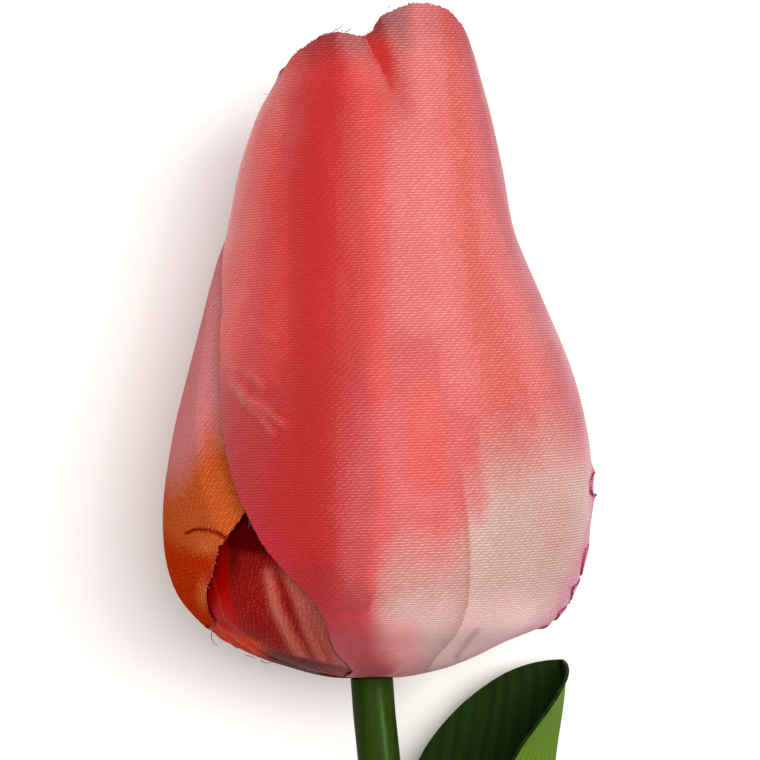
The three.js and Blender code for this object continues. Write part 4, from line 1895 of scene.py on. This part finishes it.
@dataclass
class Leaf:
    """The leaf, one blade of coated cloth folded along its keel.

    Attributes:
        rows: Height, the keel's x and lift, the half width, then for the half under the stem and
            for the raised half the direction in which it leaves the keel and how far it turns.
        tip_round: How far the rounded tip reaches back at the margins.
        columns: Faces across.
        steps: Faces along.
        thickness: How thick the cloth is.
        seed: Picks its random pattern.
    """

    rows: Rows = (
        (-150, 10.9, 9.55, 6.5, 270, -87, 90, 87),
        (-143, 11.3, 9.9, 7.2, 268, -84, 91, 83),
        (-125, 12.6, 7.6, 11.0, 232, -48, 97, 46),
        (-100, 14.5, 3.9, 14.5, 200, -22, 100, 26),
        (-60, 16.7, 0.0, 16.3, 178, -6, 101, 20),
        (-30, 18.1, 0.9, 16.4, 174, -2, 105, 16),
        (-10, 19.5, 3.0, 16.0, 172, 0, 105, 12),
        (-2.2, 20.5, 4.0, 16.0, 172, 0, 94, 6),
        (0.9, 20.2, 4.4, 16.0, 172, 0, 82, 0),
    )
    tip_round: float = 17.0
    columns: int = 96
    steps: int = 300
    thickness: float = 0.35
    seed: int = 21

    def sheet(self) -> Sheet:
        """Works out the leaf's cloth.

        Returns:
            Its sheet, standing, folded along the keel.
        """
        across, up = np.meshgrid(
            np.linspace(-1, 1, self.columns + 1), np.linspace(0, 1, self.steps + 1)
        )
        side = np.sin(across * np.pi / 2)
        rounding = self.tip_round * (1 - np.sqrt(np.maximum(0, 1 - side * side)))
        height = mix(self.rows[0][0], self.rows[-1][0] - rounding, up)
        read = [through(self.rows, height, column) for column in range(1, 8)]
        keel_x, keel_lift, half_width, low_start, low_turn, high_start, high_turn = read
        low = side > 0
        start = np.radians(np.where(low, low_start, high_start))
        bend = np.radians(np.where(low, low_turn, high_turn)) * np.abs(side)
        cut = 0.1 * ripple(self.seed, height / 0.7) * np.abs(side) ** 6
        reach = half_width * np.abs(side) + cut
        bent = np.abs(bend) > 1e-6
        chord = np.where(bent, 2 * reach * np.sin(bend / 2) / np.where(bent, bend, 1.0), reach)
        heading = start + bend / 2
        wave = 0.25 * ripple(self.seed + 1, height / 17, across * 1.5) * np.abs(side)
        x = keel_x + chord * np.cos(heading)
        lift = keel_lift + chord * np.sin(heading) + wave * low
        x = x + wave * ~low
        lift = np.maximum(lift, 0.0)
        outer = np.stack([x, POSE.standing_depth(height, lift), height], axis=-1)
        weave = np.stack([reach * np.sign(side), height], axis=-1)
        return Sheet(outer, self.thickness, weave, {})

    def build(self) -> bpy.types.Object:
        """Makes the leaf.

        Returns:
            The leaf, whose outer face is its bare under face.
        """
        sheet = self.sheet()
        piece = sheet.build("leaf_blade_cloth", inner_floor=self.thickness)
        under = CoatedLeafCloth(
            "polyester leaf cloth, printed, bare under face", "#53701c", "#668624", 0.6, 0.01, 1.0
        )
        # The upper face's near-black green is its darker print with painted shade in it.
        upper = CoatedLeafCloth(
            "polyester leaf cloth, printed and coated upper face", "#132007", "#1f3410", 0.5,
            0.015, 0.25,
        )
        piece.data.materials.append(under.material())
        piece.data.materials.append(upper.material())
        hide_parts("leaf_blade")
        area = sheet.flat_area()
        return piece


# The stem


@dataclass
class Stem:
    """The moulded stem tube, the wire inside it and the sheath that carries the leaf.

    Attributes:
        route: Points of the centre line, from the peg's shoulder to the cut end.
        radius: Half the tube's thickness.
        bore: Half the bore's width.
        bore_depth: How far the bore reaches up from the cut end.
        wire_radius: Half the wire's thickness.
        wire_top: Height of the wire's upper end.
        wire_dimple: Rim and depth of the hollow that the cutter leaves in the wire's end.
        peg_radius: Half the thickness of the peg.
        peg_top: Height of the peg's top.
        sheath_radius: Half the sheath's thickness.
        sheath_span: Heights of the sheath's two ends.
        gap: Play between the tube and the sheath.
        shoulder: How far below the petals the tube's shoulder lies.
        painted_highlight_turn: Degrees from the front at which the painted highlight line runs.
        sides: Sides of the round pieces.
    """

    route: Rows = (
        (-0.14, 0, -0.3), (0.14, 0, -4), (0.66, 0, -9), (3.5, 0.1, -40), (6.1, 0.2, -90),
        (6.6, 0, -150), (4.4, 0.1, -215), (1.4, 0.24, -270),
    )
    radius: float = 2.2
    bore: float = 1.3
    bore_depth: float = 261
    wire_radius: float = 0.85
    wire_top: float = -9.3
    wire_dimple: tuple[float, float] = (0.2, 0.05)
    peg_radius: float = 1.6
    peg_top: float = 5.8
    sheath_radius: float = 3.4
    sheath_span: tuple[float, float] = (-143, -163)
    gap: float = 0.3
    shoulder: float = 0.1
    painted_highlight_turn: float = 22.5
    sides: int = 48

    def rod(self, name: str, radius: float, top: float, bottom: float) -> bpy.types.Object:
        """Adds a straight upright cylinder and leaves it in edit mode with nothing selected.

        Args:
            name: The piece's name.
            radius: Its radius.
            top: Height of its upper end.
            bottom: Height of its lower end.

        Returns:
            The new piece.
        """
        bpy.ops.object.select_all(action="DESELECT")
        bpy.ops.mesh.primitive_cylinder_add(
            vertices=self.sides,
            radius=radius,
            depth=top - bottom,
            end_fill_type="NGON",
            location=(0, 0, (top + bottom) / 2),
        )
        made = bpy.context.active_object
        made.name = made.data.name = name
        bpy.ops.object.transform_apply(location=True, rotation=False, scale=False)
        bpy.ops.object.mode_set(mode="EDIT")
        bpy.ops.mesh.select_mode(type="FACE")
        bpy.ops.mesh.select_all(action="DESELECT")
        return made

    def pick(self, made: bpy.types.Object, kind: str, test: Callable[[Any, Any], bool]) -> None:
        """Selects the faces or edges of a piece in edit mode that pass a test.

        Args:
            made: The piece.
            kind: "faces" or "edges".
            test: Says whether to select one, from its mesh item and the mesh's vertices.
        """
        bpy.ops.mesh.select_mode(type="FACE" if kind == "faces" else "EDGE")
        bpy.ops.mesh.select_all(action="DESELECT")
        bpy.ops.object.mode_set(mode="OBJECT")
        mesh = made.data
        for item in mesh.polygons if kind == "faces" else mesh.edges:
            item.select = bool(test(item, mesh.vertices))
        bpy.ops.object.mode_set(mode="EDIT")

    def extrude_end(self, made: bpy.types.Object, level: float, inset: float, move: float) -> None:
        """Insets a flat end and moves what is inside the rim up or down.

        Args:
            made: The piece, in edit mode.
            level: Height of the end.
            inset: Width of the rim that stays.
            move: How far up the rest moves.
        """
        self.pick(made, "faces", lambda f, v: len(f.vertices) > 4 and abs(f.center.z - level) < 1e-3)
        bpy.ops.mesh.inset(thickness=inset, depth=0)
        bpy.ops.mesh.extrude_region_move(TRANSFORM_OT_translate={"value": (0, 0, move)})

    def follow(self, made: bpy.types.Object, cuts: int, bevel: float) -> None:
        """Finishes a rod: rounds its sharp rings, cuts it along its length and bends it.

        Args:
            made: The piece, in edit mode.
            cuts: Cuts along each long stretch.
            bevel: Radius of its rounded edges.
        """
        long_stretch = 8
        self.pick(made, "edges", self.sharp_ring)
        bpy.ops.mesh.bevel(offset=bevel, segments=2, affect="EDGES")
        self.pick(made, "edges", lambda e, v: self.span(e, v).length > long_stretch)
        bpy.ops.mesh.subdivide(number_cuts=cuts)
        bpy.ops.object.mode_set(mode="OBJECT")
        line = bpy.data.curves.new("stem_route", "CURVE")
        line.dimensions = "3D"
        spline = line.splines.new("POLY")
        points = self.centre_line()
        spline.points.add(len(points) - 1)
        spline.points.foreach_set("co", np.c_[points, np.ones(len(points))].ravel())
        guide = bpy.data.objects.new("stem_route", line)
        bpy.context.scene.collection.objects.link(guide)
        bend = made.modifiers.new("bend", "CURVE")
        bend.object = guide
        bend.deform_axis = "NEG_Z"
        bpy.ops.object.modifier_apply(modifier="bend")
        bpy.data.objects.remove(guide)
        self.mark_painted_highlight(made.data)
        made.data.transform(POSE.matrix())
        bpy.ops.object.shade_smooth_by_angle(angle=math.radians(40))
        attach(made, "root")

    def mark_painted_highlight(self, mesh: bpy.types.Mesh) -> None:
        """Marks where a highlight is painted along a bent rod, fading out under the petals.

        Args:
            mesh: The rod's mesh, standing.
        """
        place = np.empty(3 * len(mesh.vertices))
        mesh.vertices.foreach_get("co", place)
        x, y, z = place.reshape(-1, 3).T
        line = self.centre_line()[::-1]
        across, depth = (np.interp(z, line[:, 2], line[:, column]) for column in (0, 1))
        turn = np.degrees(np.arctan2(x - across, depth - y))
        # Painted highlight: a narrow lighter band at a fixed turn about the stem.
        wear_and_painted_glint = hump(turn - self.painted_highlight_turn, 6.0) * smooth(z, -0.8, -3.5)
        mesh.attributes.new("painted_highlight_line", "FLOAT", "POINT").data.foreach_set(
            "value", wear_and_painted_glint.astype(np.float32)
        )

    def span(self, edge: Any, vertices: Any) -> Vector:
        """The way from one end of an edge to the other."""
        return vertices[edge.vertices[1]].co - vertices[edge.vertices[0]].co

    def sharp_ring(self, edge: Any, vertices: Any) -> bool:
        """Whether an edge lies in one of the level rings at the ends."""
        span = self.span(edge, vertices)
        return abs(span.z) < 1e-4 and span.length > 1e-4

    def cut_end(self) -> float:
        """Height of the stem's cut end."""
        return self.route[-1][2]

    def centre_line(self) -> np.ndarray:
        """Runs the stem's centre line through its route.

        Returns:
            Points a millimetre or two apart, from the bud down to the cut end.
        """
        keyed = tuple((-z, x, y) for x, y, z in self.route)
        z = np.linspace(0, self.cut_end(), 181)
        return np.stack([through(keyed, -z, 1), through(keyed, -z, 2), z], axis=1)

    def tube(self) -> bpy.types.Object:
        """Makes the stem tube with its peg at the top and its bore at the cut end.

        Returns:
            The bent tube.
        """
        top, end = -self.shoulder, self.cut_end()
        made = self.rod("stem_moulding", self.radius, top, end)
        self.extrude_end(made, top, self.radius - self.peg_radius, self.peg_top - top)
        self.extrude_end(made, end, self.radius - self.bore, self.bore_depth)
        self.follow(made, cuts=70, bevel=0.12)
        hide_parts("stem_tube")
        return made

    def wire(self) -> bpy.types.Object:
        """Makes the steel wire, whose cut end shows in the bore.

        Returns:
            The bent wire.
        """
        made = self.rod("stem_core_wire", self.wire_radius, self.wire_top, self.cut_end())
        self.extrude_end(made, self.cut_end(), *self.wire_dimple)
        self.follow(made, cuts=70, bevel=0.06)
        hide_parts("stem_wire")
        return made

    def sheath(self) -> bpy.types.Object:
        """Makes the short sheath round the stem that the leaf is welded to.

        Returns:
            The bent sheath.
        """
        top, bottom = self.sheath_span
        made = self.rod("leaf_sheath_moulding", self.sheath_radius, top, bottom)
        self.pick(made, "faces", lambda f, v: len(f.vertices) > 4)
        bpy.ops.mesh.inset(thickness=self.sheath_radius - self.radius - self.gap, depth=0)
        bpy.ops.mesh.bridge_edge_loops()
        self.follow(made, cuts=8, bevel=0.2)
        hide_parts("leaf_sheath")
        return made

    def build(self) -> list[bpy.types.Object]:
        """Makes the three pieces and dresses them.

        Returns:
            The tube, the sheath and the wire.
        """
        green = MouldedPlastic(
            "polyethylene, injection moulded, green", "#1c2c06", "#263a0c", gloss=0.02
        )
        made = []
        for piece, slot, finish in (
            (self.tube(), "stem_plastic", green.material()),
            (self.sheath(), "stem_plastic", green.material()),
            (self.wire(), "steel_wire", DrawnSteel().material()),
        ):
            piece.data.materials.clear()
            piece.data.materials.append(finish)
            log.info("%s: %d faces", piece.name, len(piece.data.polygons))
            made.append(piece)
        return made


@dataclass
class Cap:
    """The cap inside the bud, kept as the model has it, in natural polyethylene.

    Attributes:
        node: The model's node.
    """

    node: str = "petal_cap"

    def build(self) -> bpy.types.Object:
        """Gives the model's own cap its material.

        Returns:
            The cap.
        """
        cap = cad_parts[self.node]
        natural = MouldedPlastic(
            "polyethylene, injection moulded, natural", "#cfc9a4", "#ddd8bd", "#ddd8bd", 0.5
        )
        cap.data.materials.clear()
        cap.data.materials.append(natural.material())
        log.info("%s: kept", cap.name)
        return cap


# The studio


@dataclass(frozen=True)
class MattPaper(Finish):
    """Matt paper, pale, which gives the eye an even ground with no gloss.

    Attributes:
        colour: Its main colour.
        grain: The paler colour of its clouds.
        clouds: Clouds in a millimetre.
    """

    colour: str = "#f4f4f3"
    grain: str = "#f8f8f7"
    clouds: float = 0.04

    def inputs(self, tree: bpy.types.NodeTree) -> dict[str, Any]:
        """The shader's inputs.

        Args:
            tree: The material's node tree.

        Returns:
            For each input, a value or the socket that drives it.
        """
        place = add_node(tree, "TexCoord", output="Object")
        grains = {"Vector": place, "Scale": grain_scale(self.clouds), "Detail": 3.0}
        cloud = add_node(tree, "TexNoise", grains, output="Fac")
        greys = {"Factor": cloud, 6: linear(self.colour), 7: linear(self.grain)}
        return {
            "Base Color": add_node(tree, "Mix", greys, output=2, data_type="RGBA"),
            "Roughness": 0.9,
            "Specular IOR Level": 0.1,
        }


@dataclass(frozen=True)
class SoftLight:
    """A soft box that shines on the bud.

    Attributes:
        name: Its name.
        place: Where it hangs, from the bud's middle, in metres.
        size: Its width and length in metres.
        watts: Its power.
        colour: Its colour.
    """

    name: str
    place: tuple[float, float, float]
    size: tuple[float, float]
    watts: float
    colour: str = "#ffffff"

    def build(self, target: Vector) -> bpy.types.Object:
        """Hangs the light and turns it to the bud.

        Args:
            target: The place that it shines on.

        Returns:
            The light.
        """
        data = bpy.data.lights.new(self.name, "AREA")
        data.shape = "RECTANGLE"
        data.size, data.size_y = self.size
        data.energy = self.watts
        data.color = linear(self.colour)[:3]
        made = bpy.data.objects.new(self.name, data)
        made.location = target + Vector(self.place)
        made.rotation_euler = (-Vector(self.place)).to_track_quat("-Z", "Y").to_euler()
        bpy.context.scene.collection.objects.link(made)
        return made


@dataclass
class Studio:
    """A plain pale floor, soft lights and the camera at the photograph's angle.

    Attributes:
        floor_size: The floor's width in metres.
        sensor: Width of the camera's sensor in millimetres.
        lit_place: How far along from the bud's base the lights point.
        sky: The colour of the surroundings.
        sky_strength: Their strength.
        lights: The soft boxes.
    """

    floor_size: float = 8.0
    sensor: float = 36.0
    lit_place: float = 30.0
    sky: str = "#eef0f4"
    sky_strength: float = 0.3
    lights: tuple[SoftLight, ...] = (
        SoftLight("key_soft_box", (0.31, 0.08, 0.88), (0.5, 1.3), 16.5, "#fffaf6"),
        SoftLight("left_edge_light", (-0.8, 0.5, 0.16), (0.4, 0.9), 1.9, "#fff6f4"),
    )

    def camera(self) -> bpy.types.Object:
        """Makes the camera, square to the front of the bud.

        Returns:
            The camera.
        """
        along, front = POSE.axes()
        across, up = PHOTO.middle()
        target = (Vector(POSE.base) + along * up + Vector((across, 0, 0))) * MM
        data = bpy.data.cameras.new("photo_camera")
        data.sensor_width = self.sensor
        data.lens = self.sensor / 2 * PHOTO.distance / PHOTO.reach()
        data.clip_start, data.clip_end = 0.01, 20.0
        made = bpy.data.objects.new("photo_camera", data)
        turn = Matrix((Vector((1, 0, 0)), along, front)).transposed()
        made.matrix_world = Matrix.Translation(target + front * PHOTO.distance * MM) @ turn.to_4x4()
        bpy.context.scene.collection.objects.link(made)
        bpy.context.scene.camera = made
        return made

    def floor(self) -> bpy.types.Object:
        """Makes the pale floor.

        Returns:
            The floor.
        """
        bpy.ops.object.select_all(action="DESELECT")
        bpy.ops.mesh.primitive_plane_add(size=self.floor_size, location=(0, 0, 0))
        made = bpy.context.active_object
        made.name = "floor"
        made.data.materials.append(MattPaper("paper, matt, pale").material())
        return made

    def build(self) -> None:
        """Sets up the floor, the lights, the surroundings and the camera."""
        scene = bpy.context.scene
        scene.view_settings.view_transform = "Standard"
        world = bpy.data.worlds.new("studio")
        world.use_nodes = True
        background = world.node_tree.nodes["Background"]
        background.inputs["Color"].default_value = linear(self.sky)
        background.inputs["Strength"].default_value = self.sky_strength
        scene.world = world
        self.floor()
        self.camera()
        target = (Vector(POSE.base) + Vector((0, self.lit_place, 0))) * MM
        for light in self.lights:
            light.build(target)


def main() -> None:
    """Builds the flower and its studio."""
    logging.basicConfig(level=logging.INFO, format="%(name)s: %(message)s")
    Studio().build()
    Bloom().build()
    Leaf().build()
    Stem().build()
    Cap().build()


if __name__ == "__main__":
    main()
